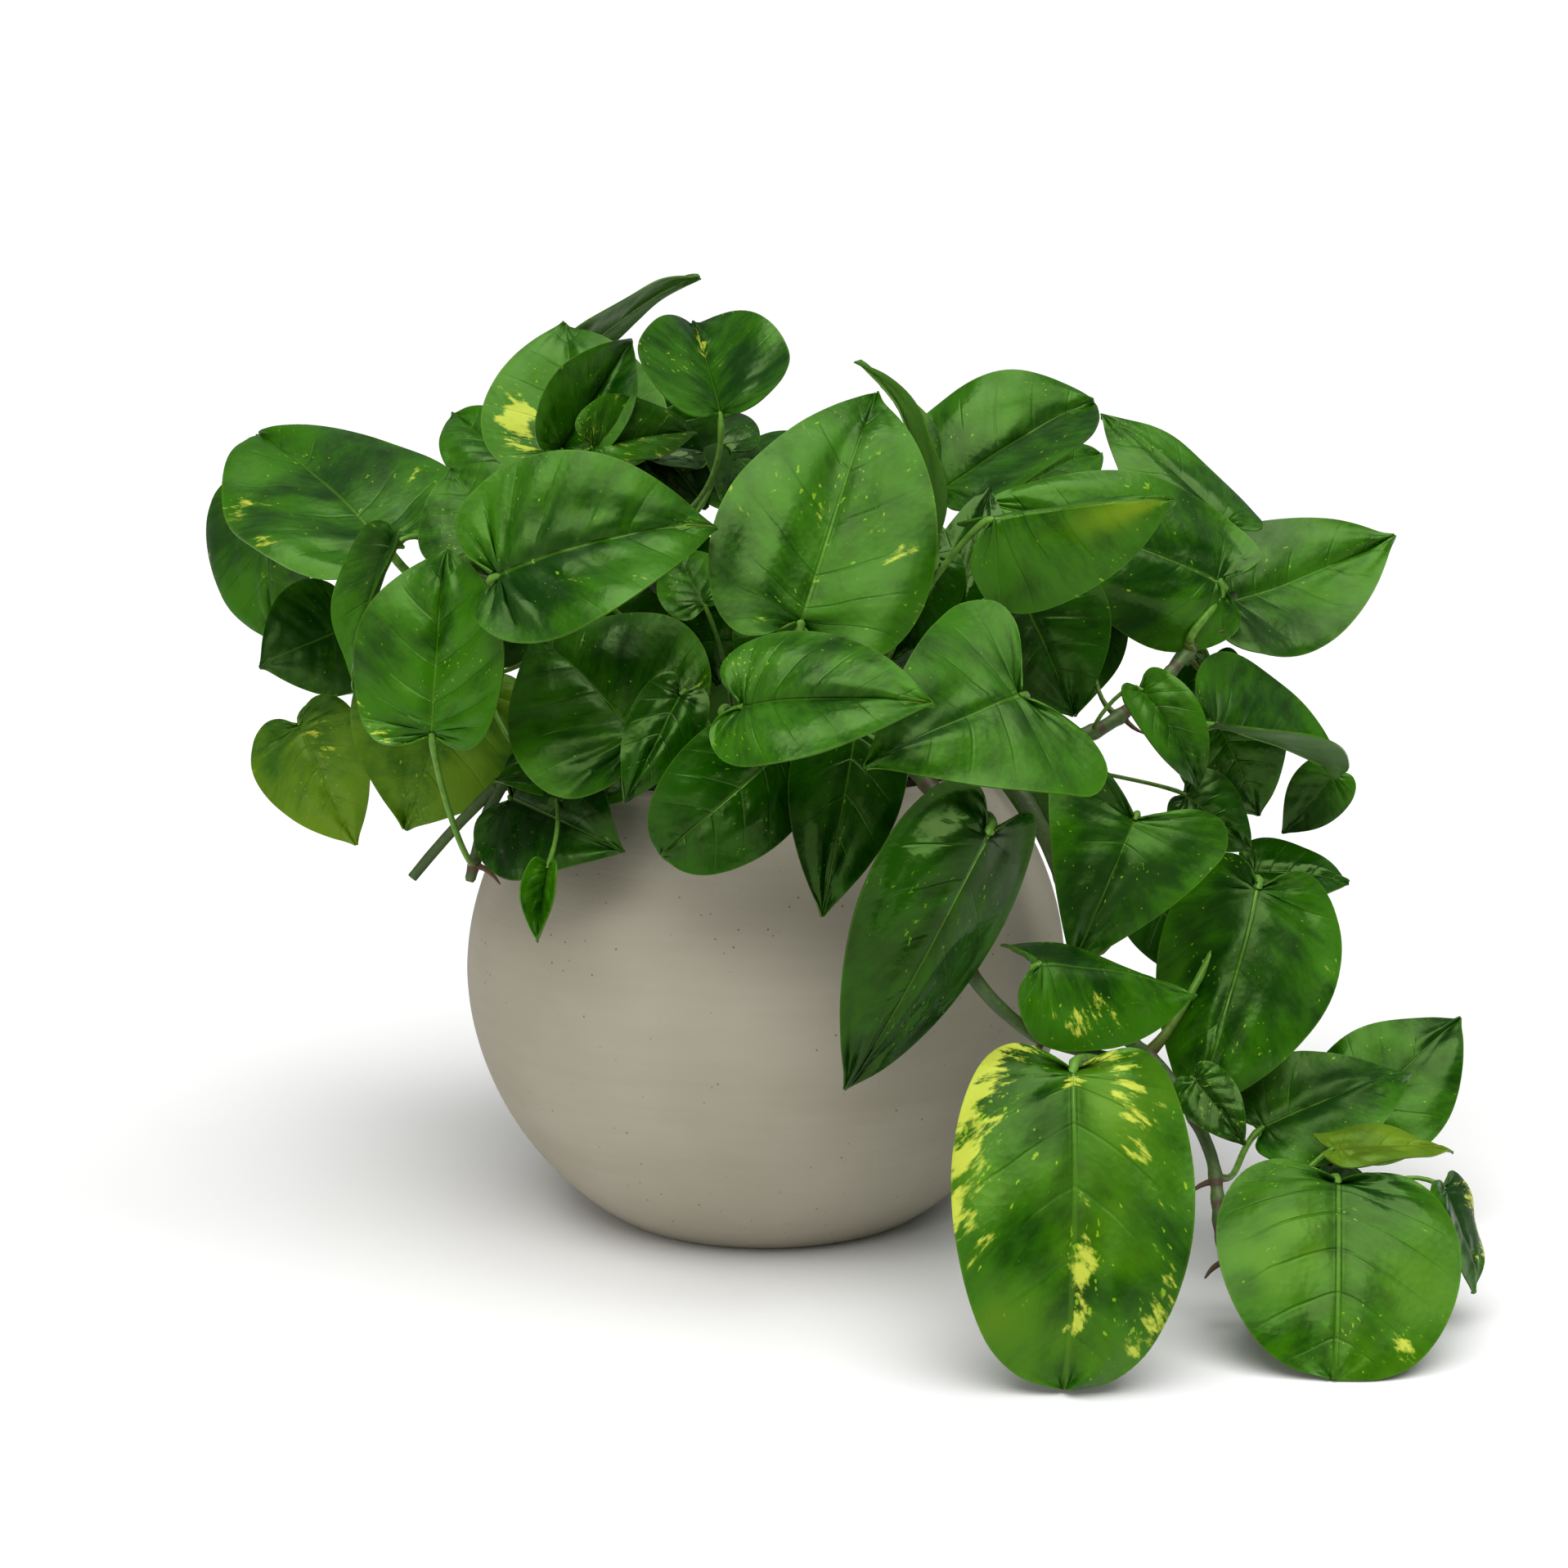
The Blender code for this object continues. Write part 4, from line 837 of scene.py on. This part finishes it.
def sweep(bm: BMesh, path: Sequence[Vector], radii: Sequence[float], side: Vector, sides: int = 10,
          marks: Sequence[tuple[float, Colour]] | None = None, groove: float = 0.0) -> None:
    """Carry a ring along a path as a closed tube.

    Args:
        bm: the mesh to add to.
        path: the ring's centres.
        radii: the ring's radius at each centre.
        side: direction in which the ring starts, across the path.
        sides: vertices in the ring.
        marks: UV height and growth colour at each centre.
        groove: depth of a channel along one side, as a share of the radius.
    """
    uv, growth = grown_layers(bm)
    heading = (path[1] - path[0]).normalized()
    side = (side - heading * side.dot(heading)).normalized()
    angles = [2 * pi * k / sides for k in range(sides)]
    ring = bmesh.ops.create_circle(bm, cap_ends=True, segments=sides, radius=radii[0])
    end = ring["verts"][0].link_faces[0]
    marked: dict[Any, int] = {}
    for k, (centre, radius) in enumerate(zip(path, radii)):
        if k:
            end = bmesh.ops.extrude_discrete_faces(bm, faces=[end])["faces"][0]
            ahead = path[min(k + 1, len(path) - 1)] - path[k - 1]
            turned = ahead.normalized()
            side.rotate(heading.rotation_difference(turned))
            heading = turned
        up = heading.cross(side).normalized()
        for vert, angle in zip(end.verts, angles):
            dent = 1 - groove * max(cos(angle - pi / 2), 0) ** 6
            vert.co = centre + (side * cos(angle) + up * sin(angle)) * radius * dent
            marked[vert] = k
    bmesh.ops.remove_doubles(bm, verts=[vert for vert in marked if vert.is_valid], dist=0.0000005)
    verts = [vert for vert in marked if vert.is_valid]
    edges = list({edge for vert in verts for edge in vert.link_edges if edge.is_boundary})
    bmesh.ops.holes_fill(bm, edges=edges, sides=0)
    faces = list({face for vert in verts for face in vert.link_faces})
    bmesh.ops.recalc_face_normals(bm, faces=faces)
    if marks:
        for vert in verts:
            vert[growth] = (*marks[marked[vert]][1], 1.0)
        for face in faces:
            for loop in face.loops:
                loop[uv].uv = (0.25, marks[marked[loop.vert]][0])


class Blade:
    """Surface of one leaf: point(q, t) for rim station q (0 sinus, 1 tip) and t from -1 to 1 across."""

    GROOVE_DEPTH = 0.0008
    GROOVE_WIDTH = 0.0018

    def __init__(self, leaf: Leaf, look: Look, name: str) -> None:
        """Work out the leaf's own axes.

        Args:
            leaf: the leaf's place and shape.
            look: what its surface shows.
            name: its name, which seeds its waves.
        """
        self.look = look
        self.base = Vector(leaf.base)
        run = Vector(leaf.tip) - self.base
        self.length = run.length
        self.along = run.normalized()
        face = Vector(leaf.face)
        self.face = (face - self.along * face.dot(self.along)).normalized()
        self.side = self.face.cross(self.along)
        self.half = leaf.width / 2
        self.outline = leaf.shape.value
        self.folds = (leaf.fold[:2], leaf.fold[-2:])
        self.arch = leaf.arch * self.length
        self.hook = leaf.hook * self.length
        chance = Random(name)
        self.seed = Vector([chance.uniform(-40, 40) for _ in range(3)])
        self.waves = [(chance.uniform(1.6, 2.6), chance.uniform(0, 2 * pi)) for _ in range(2)]

    def lift(self, x: float) -> float:
        """Height of the midrib above the straight line from base to tip."""
        x = max(x, 0.0)
        return self.arch * 4 * x * (1 - x) - self.hook * max((x - 0.6) / 0.4, 0) ** 2

    def relief(self, q: float, t: float, y: float) -> float:
        """Height of the quilting between the ribs, the midrib's groove and the wavy margin.

        Args:
            q: station along the rim.
            t: place across the blade.
            y: distance from the midrib in metres.

        Returns:
            Height above the folded blade in metres.
        """
        spread = abs(t)
        apart = 0.5 - abs((q * LeafFinish.RIBS) % 1 - 0.5)
        quilt = 0.35 - exp(-((apart / 0.13) ** 2))
        height = self.look.ribs * quilt * min(spread * 6, 1) * (1 - spread ** 3) * smooth(q, 0.03, 0.2)
        height -= self.GROOVE_DEPTH * exp(-((y / self.GROOVE_WIDTH) ** 2)) * (1 - q ** 3)
        count, phase = self.waves[t < 0]
        height += (self.look.wave * self.length * spread ** 2.2 * sin(2 * pi * q * count + phase)
                   * sin(pi * q) ** 0.6)
        height += self.look.curl * self.length * smooth(spread, 0.72, 1.0) ** 2 * sin(pi * q)
        height -= self.look.cup * self.length * exp(-(spread / 0.45) ** 2 - (q / 0.22) ** 2)
        drift = self.seed + Vector((q * 2.6, t * 1.3, 0))
        height += noise.noise(drift * 2.3) * 0.019 * self.length
        return height + noise.noise(drift) * 0.045 * self.length * min(spread * 3, 1)

    def point(self, q: float, t: float) -> Vector:
        """Point of the middle surface.

        Args:
            q: station along the rim.
            t: place across the blade.

        Returns:
            The point in metres.
        """
        rim_x, rim_y = on_curve(self.outline, q)
        x = mix(min(max(on_curve(RIB_FEET, q)[0], 0), 1), rim_x, abs(t) ** 1.22)
        first, last = self.folds[0 if t >= 0 else 1]
        reach, rise, steps = 0.0, 0.0, 6
        out = abs(t) * rim_y * self.half
        for k in range(steps):
            angle = radians(mix(first, last, (k + 0.5) / steps * out / self.half))
            reach += out / steps * cos(angle)
            rise += out / steps * sin(angle)
        sign = 1 if t >= 0 else -1
        return (self.base + self.along * (x * self.length) + self.side * (sign * reach)
                + self.face * (self.lift(x) + rise + self.relief(q, t, out)))


@dataclass
class Plant:
    """Vines and leaves, with the soil's surface that the vines rise from."""

    vines: dict[str, tuple[Point, ...]]
    leaves: dict[str, Leaf]
    small: dict[str, Leaf]
    looks: dict[str, Look]
    soil_height: Callable[[float, float], float]
    columns: int = 32
    rows: int = 48
    blade: float = 0.0006
    gap: float = 0.0004
    vine_radius: float = 0.0027
    vine_outside: float = 0.0028
    stalk_radius: float = 0.00125
    joints: dict[str, list[float]] = field(default_factory=dict)

    def vine_points(self, name: str) -> list[Point]:
        """Set a vine's first points on the soil.

        Args:
            name: the vine.

        Returns:
            Its points, from the soil outwards.
        """
        points = self.vines[name]
        x, y, _ = points[0]
        start = self.soil_height(x, y) + 2 * self.gap
        return [(x, y, start), (x, y, start + 0.006), *points[1:]]

    def stalk_path(self, blade: Blade, leaf: Leaf) -> list[Vector]:
        """Lead a petiole from the blade's base into its vine.

        Args:
            blade: the blade that it carries.
            leaf: the leaf's place and shape.

        Returns:
            The petiole's centres.
        """
        points = self.vine_points(leaf.vine)
        on_vine = Vector(on_curve(points, leaf.at))
        tangent = Vector(on_curve(points, min(leaf.at + 0.02, 1))) - Vector(on_curve(points, leaf.at - 0.02))
        tangent.normalize()
        guide = Vector(leaf.leave) if leaf.leave else blade.base - on_vine
        radial = (guide - tangent * guide.dot(tangent)).normalized()
        end = on_vine + radial * (self.vine_outside + self.gap)
        span = (end - blade.base).length
        out = (-blade.along * 0.75 - blade.face * 0.65).normalized()
        a, b, c, d = blade.base, blade.base + out * span * leaf.ease, end + radial * span * 0.30, end
        count = max(ceil(span / 0.003), 8)
        path = []
        for k in range(count + 1):
            t = k / count
            u = 1 - t
            path.append(a * u ** 3 + b * (3 * u * u * t) + c * (3 * u * t * t) + d * t ** 3)
        return path + [on_vine + radial * self.vine_radius * 0.4]

    def blade_shell(self, bm: BMesh, blade: Blade) -> None:
        """Add the blade as a thin closed shell, with its UV map and growth painted on.

        Args:
            bm: the leaf's mesh.
            blade: the blade's surface.
        """
        uv, growth = grown_layers(bm)
        number = bm.verts.layers.int.new("number")
        grid = bmesh.ops.create_grid(bm, x_segments=self.columns, y_segments=self.rows, size=0.5)
        top = {vert: (-2 * vert.co.x, vert.co.y + 0.5) for vert in grid["verts"]}
        for face in bm.faces:
            for loop in face.loops:
                t, q = top[loop.vert]
                loop[uv].uv = (0.225 * (t + 1), 0.2 + 0.8 * q)
        for k, (vert, (t, q)) in enumerate(top.items()):
            vert[growth] = (*self.growth_at(blade.look, q, t), 1.0)
            vert[number] = k
            vert.co = blade.point(q, t)
        bm.normal_update()
        sink = [vert.normal * self.blade for vert in top]
        for vert in top:
            vert.co += vert.normal * (self.blade / 2)
        bmesh.ops.extrude_face_region(bm, geom=bm.faces[:], use_keep_orig=True)
        under = [vert for vert in bm.verts if vert not in top]
        for vert in under:
            vert.co -= sink[vert[number]]
        for face in bm.faces:
            if not any(vert in top for vert in face.verts):
                for loop in face.loops:
                    loop[uv].uv.x += 0.55
        bmesh.ops.recalc_face_normals(bm, faces=bm.faces[:])

    @staticmethod
    def growth_at(look: Look, q: float, t: float) -> Colour:
        """Add up the patches at a place on a blade.

        Args:
            look: what the surface shows.
            q: station along the rim.
            t: place across the blade.

        Returns:
            Cream, yellow and brown, each from 0 to 1.
        """
        parts = [look.cream, look.yellow, look.brown]
        for patch in look.patches:
            near = exp(-(((t - patch.across) ** 2 + ((q - patch.along) * 1.6) ** 2) / patch.size ** 2))
            parts = [have + near * more
                     for have, more in zip(parts, (patch.cream, patch.yellow, patch.brown))]
        return tuple(min(max(part, 0.0), 1.0) for part in parts)

    def grow_leaf(self, name: str, leaf: Leaf, finish: Finish, node: str | None = None) -> None:
        """Build one leaf: its blade, and one tapering stalk from the midrib's tip down into the vine.

        Args:
            name: the leaf's name.
            leaf: its place and shape.
            finish: the finish of its tone.
            node: the CAD node that it stands for.
        """
        look = self.looks.get(name, Look())
        blade = Blade(leaf, look, name)
        self.joints.setdefault(leaf.vine, []).append(leaf.at)
        bm = bmesh.new()
        self.blade_shell(bm, blade)
        size = min(max(blade.length / 0.07, 0.55), 1.15)
        keel, radii = [], []
        for k in range(14):
            q = mix(0.97, 0.10, k / 13)
            radius = self.stalk_radius * size * mix(0.25, 0.80, k / 13)
            keel.append(blade.point(q, 0) - blade.face * radius * 0.55)
            radii.append(radius)
        stalk = self.stalk_path(blade, leaf)
        stalk[0] = stalk[0] - blade.face * self.stalk_radius * size * 0.5
        last = len(stalk) - 1
        for k in range(len(stalk)):
            share = k / last
            joint = 1 + 0.18 * exp(-((share - 0.07) / 0.05) ** 2) + 0.55 * smooth(share, 0.80, 1.0)
            radii.append(self.stalk_radius * size * joint)
        marks = [(0.17, (0.0, 0.0, 0.0))] * len(keel)
        marks += [(0.15 * (1 - k / last), (0.0, 0.0, 0.0)) for k in range(len(stalk))]
        sweep(bm, keel + stalk, radii, blade.side, 10, marks, 0.22)
        finished(f"{name}_leaf", bm, finish, [node] if node else [])

    def grow_vine(self, name: str, finish: Finish) -> None:
        """Build one vine with swollen, scarred nodes and short aerial roots.

        Args:
            name: the vine, which is its CAD node too.
            finish: the stems' finish.
        """
        chance = Random(name)
        points = self.vine_points(name)
        x, y, z = points[0]
        points[0] = (x, y, z - 0.004)
        rough = [Vector(on_curve(points, k / 400)) for k in range(401)]
        run = [0.0]
        for a, b in zip(rough, rough[1:]):
            run.append(run[-1] + (b - a).length)
        nodes = sorted(run[min(round(at * 400), 400)] for at in self.joints.get(name, []))
        nodes = [s for k, s in enumerate(nodes) if not k or s - nodes[k - 1] > 0.004]
        place, extra = 0.018, []
        while place < run[-1] - 0.008:
            if all(abs(place - s) > 0.016 for s in nodes):
                extra.append(place)
            place += 0.024 + chance.uniform(-0.004, 0.004)
        nodes += extra
        count = round(run[-1] / 0.0011)
        path, radii, marks = [], [], []
        k = 0
        for step in range(count + 1):
            s = run[-1] * step / count
            while k < 399 and run[k + 1] < s:
                k += 1
            here = rough[k].lerp(rough[k + 1], (s - run[k]) / max(run[k + 1] - run[k], 1e-6))
            near = min((abs(s - n) for n in nodes), default=1.0)
            ahead = min((abs(s - n - 0.0022) for n in nodes), default=1.0)
            ripple = 0.05 * noise.noise(Vector((s * 160, 0, len(points))))
            swell = 1 + 0.24 * exp(-(near / 0.0022) ** 2) + ripple
            taper = 1 - 0.36 * smooth(s / run[-1], 0.25, 1.0)
            path.append(here)
            radii.append(self.vine_radius * swell * taper)
            marks.append((s, (exp(-(ahead / 0.0013) ** 2), 0.0, 1 - smooth(s / run[-1], 0.1, 0.6))))
        radii[-1] *= 0.72
        bm = bmesh.new()
        sweep(bm, path, radii, Vector((1, 0.3, 0.2)), 14, marks)
        for s in nodes:
            if chance.random() < 0.62:
                k = min(round(s / run[-1] * count) + 1, count - 1)
                heading = (path[k + 1] - path[k - 1]).normalized()
                down = Vector((chance.uniform(-0.7, 0.7), chance.uniform(-0.9, 0.3), -0.7))
                out = (down - heading * down.dot(heading)).normalized()
                self.aerial_root(bm, path[k], out, heading, chance.uniform(0.005, 0.010))
        finished(name.replace("vine_", "") + "_vine", bm, finish, [name])

    def cut_stem(self, finish: Finish) -> None:
        """Add the stub of a stem that was cut off beside the rim on the left.

        Args:
            finish: the stems' finish.
        """
        path = [Vector((-0.084 - 0.026 * t, -0.052 - 0.004 * t, 0.150 - 0.024 * t - 0.004 * t * t))
                for t in (0, 0.2, 0.4, 0.6, 0.8, 1)]
        bm = bmesh.new()
        sweep(bm, path, [0.0018, 0.0018, 0.0017, 0.0017, 0.0017, 0.0016], Vector((0, 1, 0)), 14,
              [(0.0, (0.0, 0.0, 0.2))] * 6)
        finished("cut_stem", bm, finish)

    @staticmethod
    def aerial_root(bm: BMesh, foot: Vector, out: Vector, heading: Vector, length: float) -> None:
        """Add a short brown root that leaves a node and bends along the vine.

        Args:
            bm: the vine's mesh.
            foot: the vine's centre at the node.
            out: direction in which the root leaves.
            heading: direction of the vine.
            length: how far the root reaches.
        """
        path = [foot + out * (0.0016 + length * t) + heading * length * 0.35 * t * t
                for t in (0, 0.25, 0.5, 0.75, 1)]
        sweep(bm, path, [0.0011, 0.0009, 0.0008, 0.0006, 0.0003], heading, 6, [(0.0, (0.0, 1.0, 0.0))] * 5)

    def build(self) -> None:
        """Grow the leaves and then the vines that carry them."""
        finishes = {tone: LeafFinish(tone) for tone in Tone}
        for node, leaf in self.leaves.items():
            self.grow_leaf(node.replace("leaf_", ""), leaf, finishes[leaf.tone], node)
        for name, leaf in self.small.items():
            self.grow_leaf(name, leaf, finishes[leaf.tone])
        skin = VineFinish()
        for name in self.vines:
            self.grow_vine(name, skin)
        self.cut_stem(skin)


@dataclass(frozen=True)
class Pot:
    """Turned pot close to a sphere, cut flat at the base and open at the rounded lip, with its soil."""

    radius: float = 0.100
    half_height: float = 0.099
    roundness: float = 1.92
    base_radius: float = 0.0544
    rim_radius: float = 0.070
    wall: float = 0.005
    floor: float = 0.007
    soil_drop: float = 0.018
    soil_crown: float = 0.004
    soil_gap: float = 0.0004
    grains: int = 420
    sides: int = 144
    stations: int = 54

    @property
    def widest(self) -> float:
        """Height of the widest ring."""
        return self.half_height * self.share_at(self.base_radius)

    @property
    def rim_top(self) -> float:
        """Height of the lip."""
        return self.widest + self.half_height * self.share_at(self.rim_radius)

    @property
    def soil_top(self) -> float:
        """Height of the soil's crown."""
        return self.rim_top - self.soil_drop

    def share_at(self, radius: float) -> float:
        """Share of the half height at which the wall has a radius."""
        return (1 - (radius / self.radius) ** self.roundness) ** (1 / self.roundness)

    def wall_radius(self, z: float, inset: float = 0.0) -> float:
        """Outer radius at height z, less an inset."""
        share = min(abs(z - self.widest) / self.half_height, 1)
        return self.radius * (1 - share ** self.roundness) ** (1 / self.roundness) - inset

    def soil_edge(self) -> float:
        """Radius of the soil's rim."""
        return self.wall_radius(self.soil_top - self.soil_crown, self.wall + self.soil_gap)

    def soil_height(self, x: float, y: float) -> float:
        """Height of the soil's domed surface."""
        share = 1 - min(sqrt(x * x + y * y) / self.soil_edge(), 1)
        return self.soil_top - self.soil_crown + self.soil_crown * sin(share * pi / 2)

    def turned(self, profile: Iterable[tuple[float, float]]) -> BMesh:
        """Spin a profile about Z; ends on the axis close it.

        Args:
            profile: pairs of radius and height.

        Returns:
            The turned mesh.
        """
        bm = bmesh.new()
        verts = [bm.verts.new((r, 0, z)) for r, z in profile]
        edges = [bm.edges.new(pair) for pair in zip(verts, verts[1:])]
        bmesh.ops.spin(bm, geom=verts + edges, cent=(0, 0, 0), axis=(0, 0, 1), angle=2 * pi, steps=self.sides,
                       use_merge=True)
        bmesh.ops.remove_doubles(bm, verts=bm.verts, dist=0.00001)
        bmesh.ops.recalc_face_normals(bm, faces=bm.faces)
        return bm

    def shell(self) -> None:
        """Build the pot: recessed base, foot, wall, rounded lip and inside."""
        high = self.rim_top - self.wall / 2
        heights = [mix(0.0014, high, (k / self.stations) ** 0.9) for k in range(self.stations + 1)]
        foot = [(0, 0.0015), (self.base_radius - 0.008, 0.0015), (self.base_radius - 0.0065, 0.0),
                (self.base_radius - 0.0014, 0.0), (self.base_radius - 0.0003, 0.0005)]
        outer = [(self.wall_radius(z), z) for z in heights]
        lip = self.wall_radius(high) - self.wall / 2
        crest = [(lip + self.wall / 2 * cos(a * pi / 12), high + self.wall / 2 * sin(a * pi / 12))
                 for a in range(1, 12)]
        inner = [(self.wall_radius(z, self.wall), z) for z in reversed(heights) if z > self.floor]
        profile = foot + outer + crest + inner + [(self.wall_radius(self.floor, self.wall), self.floor),
                                                  (0, self.floor)]
        finished("stoneware_pot", self.turned(profile), ClayFinish(), ["pot"], 50)

    def soil(self) -> None:
        """Build the soil with a rough surface, and the grains that lie on it."""
        rings = 26
        edge, foot = self.soil_edge(), self.floor + self.soil_gap
        wall = [(self.wall_radius(z, self.wall + self.soil_gap), z)
                for z in (mix(foot, self.soil_top - self.soil_crown, k / 8) for k in range(9))]
        top = [(edge * (1 - k / rings), self.soil_height(edge * (1 - k / rings), 0))
               for k in range(1, rings + 1)]
        bm = self.turned([(0, foot), *wall, *top])
        for vert in bm.verts:
            if vert.co.z > self.soil_top - self.soil_crown - 0.0001 and vert.co.xy.length < edge - 0.001:
                vert.co.z += 0.0016 * noise.noise(vert.co * 170) + 0.0012 * noise.noise(vert.co * 420)
        finished("soil_bed", bm, SoilFinish(), ["potting_soil"])
        chance = Random("grains")
        grains = bmesh.new()
        for _ in range(self.grains):
            reach, turn = edge * 0.97 * sqrt(chance.random()), chance.uniform(0, 2 * pi)
            x, y = reach * cos(turn), reach * sin(turn)
            size = chance.uniform(0.0008, 0.0022)
            grain = bmesh.ops.create_icosphere(grains, subdivisions=1, radius=size)["verts"]
            bmesh.ops.scale(grains, verts=grain, vec=[chance.uniform(0.6, 1.2) for _ in range(3)])
            bmesh.ops.translate(grains, verts=grain, vec=(x, y, self.soil_height(x, y) + 0.0006))
        finished("soil_grains", grains, GrainFinish())

    def build(self) -> None:
        """Build the pot and its soil."""
        self.shell()
        self.soil()


@dataclass(frozen=True)
class Light:
    """A soft distant light: where it comes from, its strength, its spread in degrees and its colour."""

    name: str
    source: Point
    strength: float
    spread: float
    colour: Colour = (1.0, 1.0, 1.0)

    def build(self) -> None:
        """Add the light."""
        data = bpy.data.lights.new(self.name, "SUN")
        data.energy, data.angle, data.color = self.strength, radians(self.spread), self.colour
        lamp = bpy.data.objects.new(self.name, data)
        lamp.location = self.source
        lamp.rotation_euler = Vector(self.source).to_track_quat("Z", "Y").to_euler()
        bpy.context.scene.collection.objects.link(lamp)


@dataclass(frozen=True)
class Studio:
    """Pale floor, white surroundings, soft lights and the camera."""

    lens: float = 56.3
    camera_place: Point = (0.006, -0.806, 0.275)
    camera_pitch: float = 0.163
    ambient: float = 0.17
    lights: tuple[Light, ...] = (
        Light("overhead", (0.02, -0.36, 1.0), 3.4, 62),
        Light("left", (-0.9, -1.00, 0.55), 0.62, 60, (1.0, 0.985, 0.96)),
        Light("right", (1.0, -0.10, 1.10), 0.16, 40),
    )

    def surroundings(self) -> None:
        """White surroundings that light the plant more gently than they look."""
        world = bpy.data.worlds.new("studio")
        bpy.context.scene.world = world
        world.use_nodes = True
        tree = world.node_tree
        background = tree.nodes["Background"]
        path, level = tree.nodes.new("ShaderNodeLightPath"), tree.nodes.new("ShaderNodeMapRange")
        level.inputs["To Min"].default_value, level.inputs["To Max"].default_value = self.ambient, 1.02
        tree.links.new(path.outputs["Is Camera Ray"], level.inputs["Value"])
        tree.links.new(level.outputs["Result"], background.inputs["Strength"])
        background.inputs["Color"].default_value = (1.0, 1.0, 1.0, 1.0)

    def build(self) -> None:
        """Set up the studio."""
        bm = bmesh.new()
        bmesh.ops.create_circle(bm, cap_ends=True, segments=64, radius=30.0)
        mesh = bpy.data.meshes.new("studio_floor")
        bm.to_mesh(mesh)
        bm.free()
        mesh.materials.append(FloorFinish().material)
        floor = bpy.data.objects.new("studio_floor", mesh)
        bpy.context.scene.collection.objects.link(floor)
        self.surroundings()
        for light in self.lights:
            light.build()
        data = bpy.data.cameras.new("view")
        data.lens, data.sensor_width, data.clip_start, data.clip_end = self.lens, 36.0, 0.01, 100.0
        camera = bpy.data.objects.new("view", data)
        camera.location = self.camera_place
        camera.rotation_euler = (pi / 2 - self.camera_pitch, 0, 0)
        bpy.context.scene.collection.objects.link(camera)
        bpy.context.scene.camera = camera
        bpy.context.scene.view_settings.view_transform = "Standard"


def main() -> None:
    """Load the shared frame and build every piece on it."""
    logging.basicConfig(level=logging.INFO, format="%(name)s: %(message)s")
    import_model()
    pot = Pot()
    pot.build()
    Plant(VINES, LEAVES, SMALL_LEAVES, LOOKS, pot.soil_height).build()
    Studio().build()


if __name__ == "__main__":
    main()
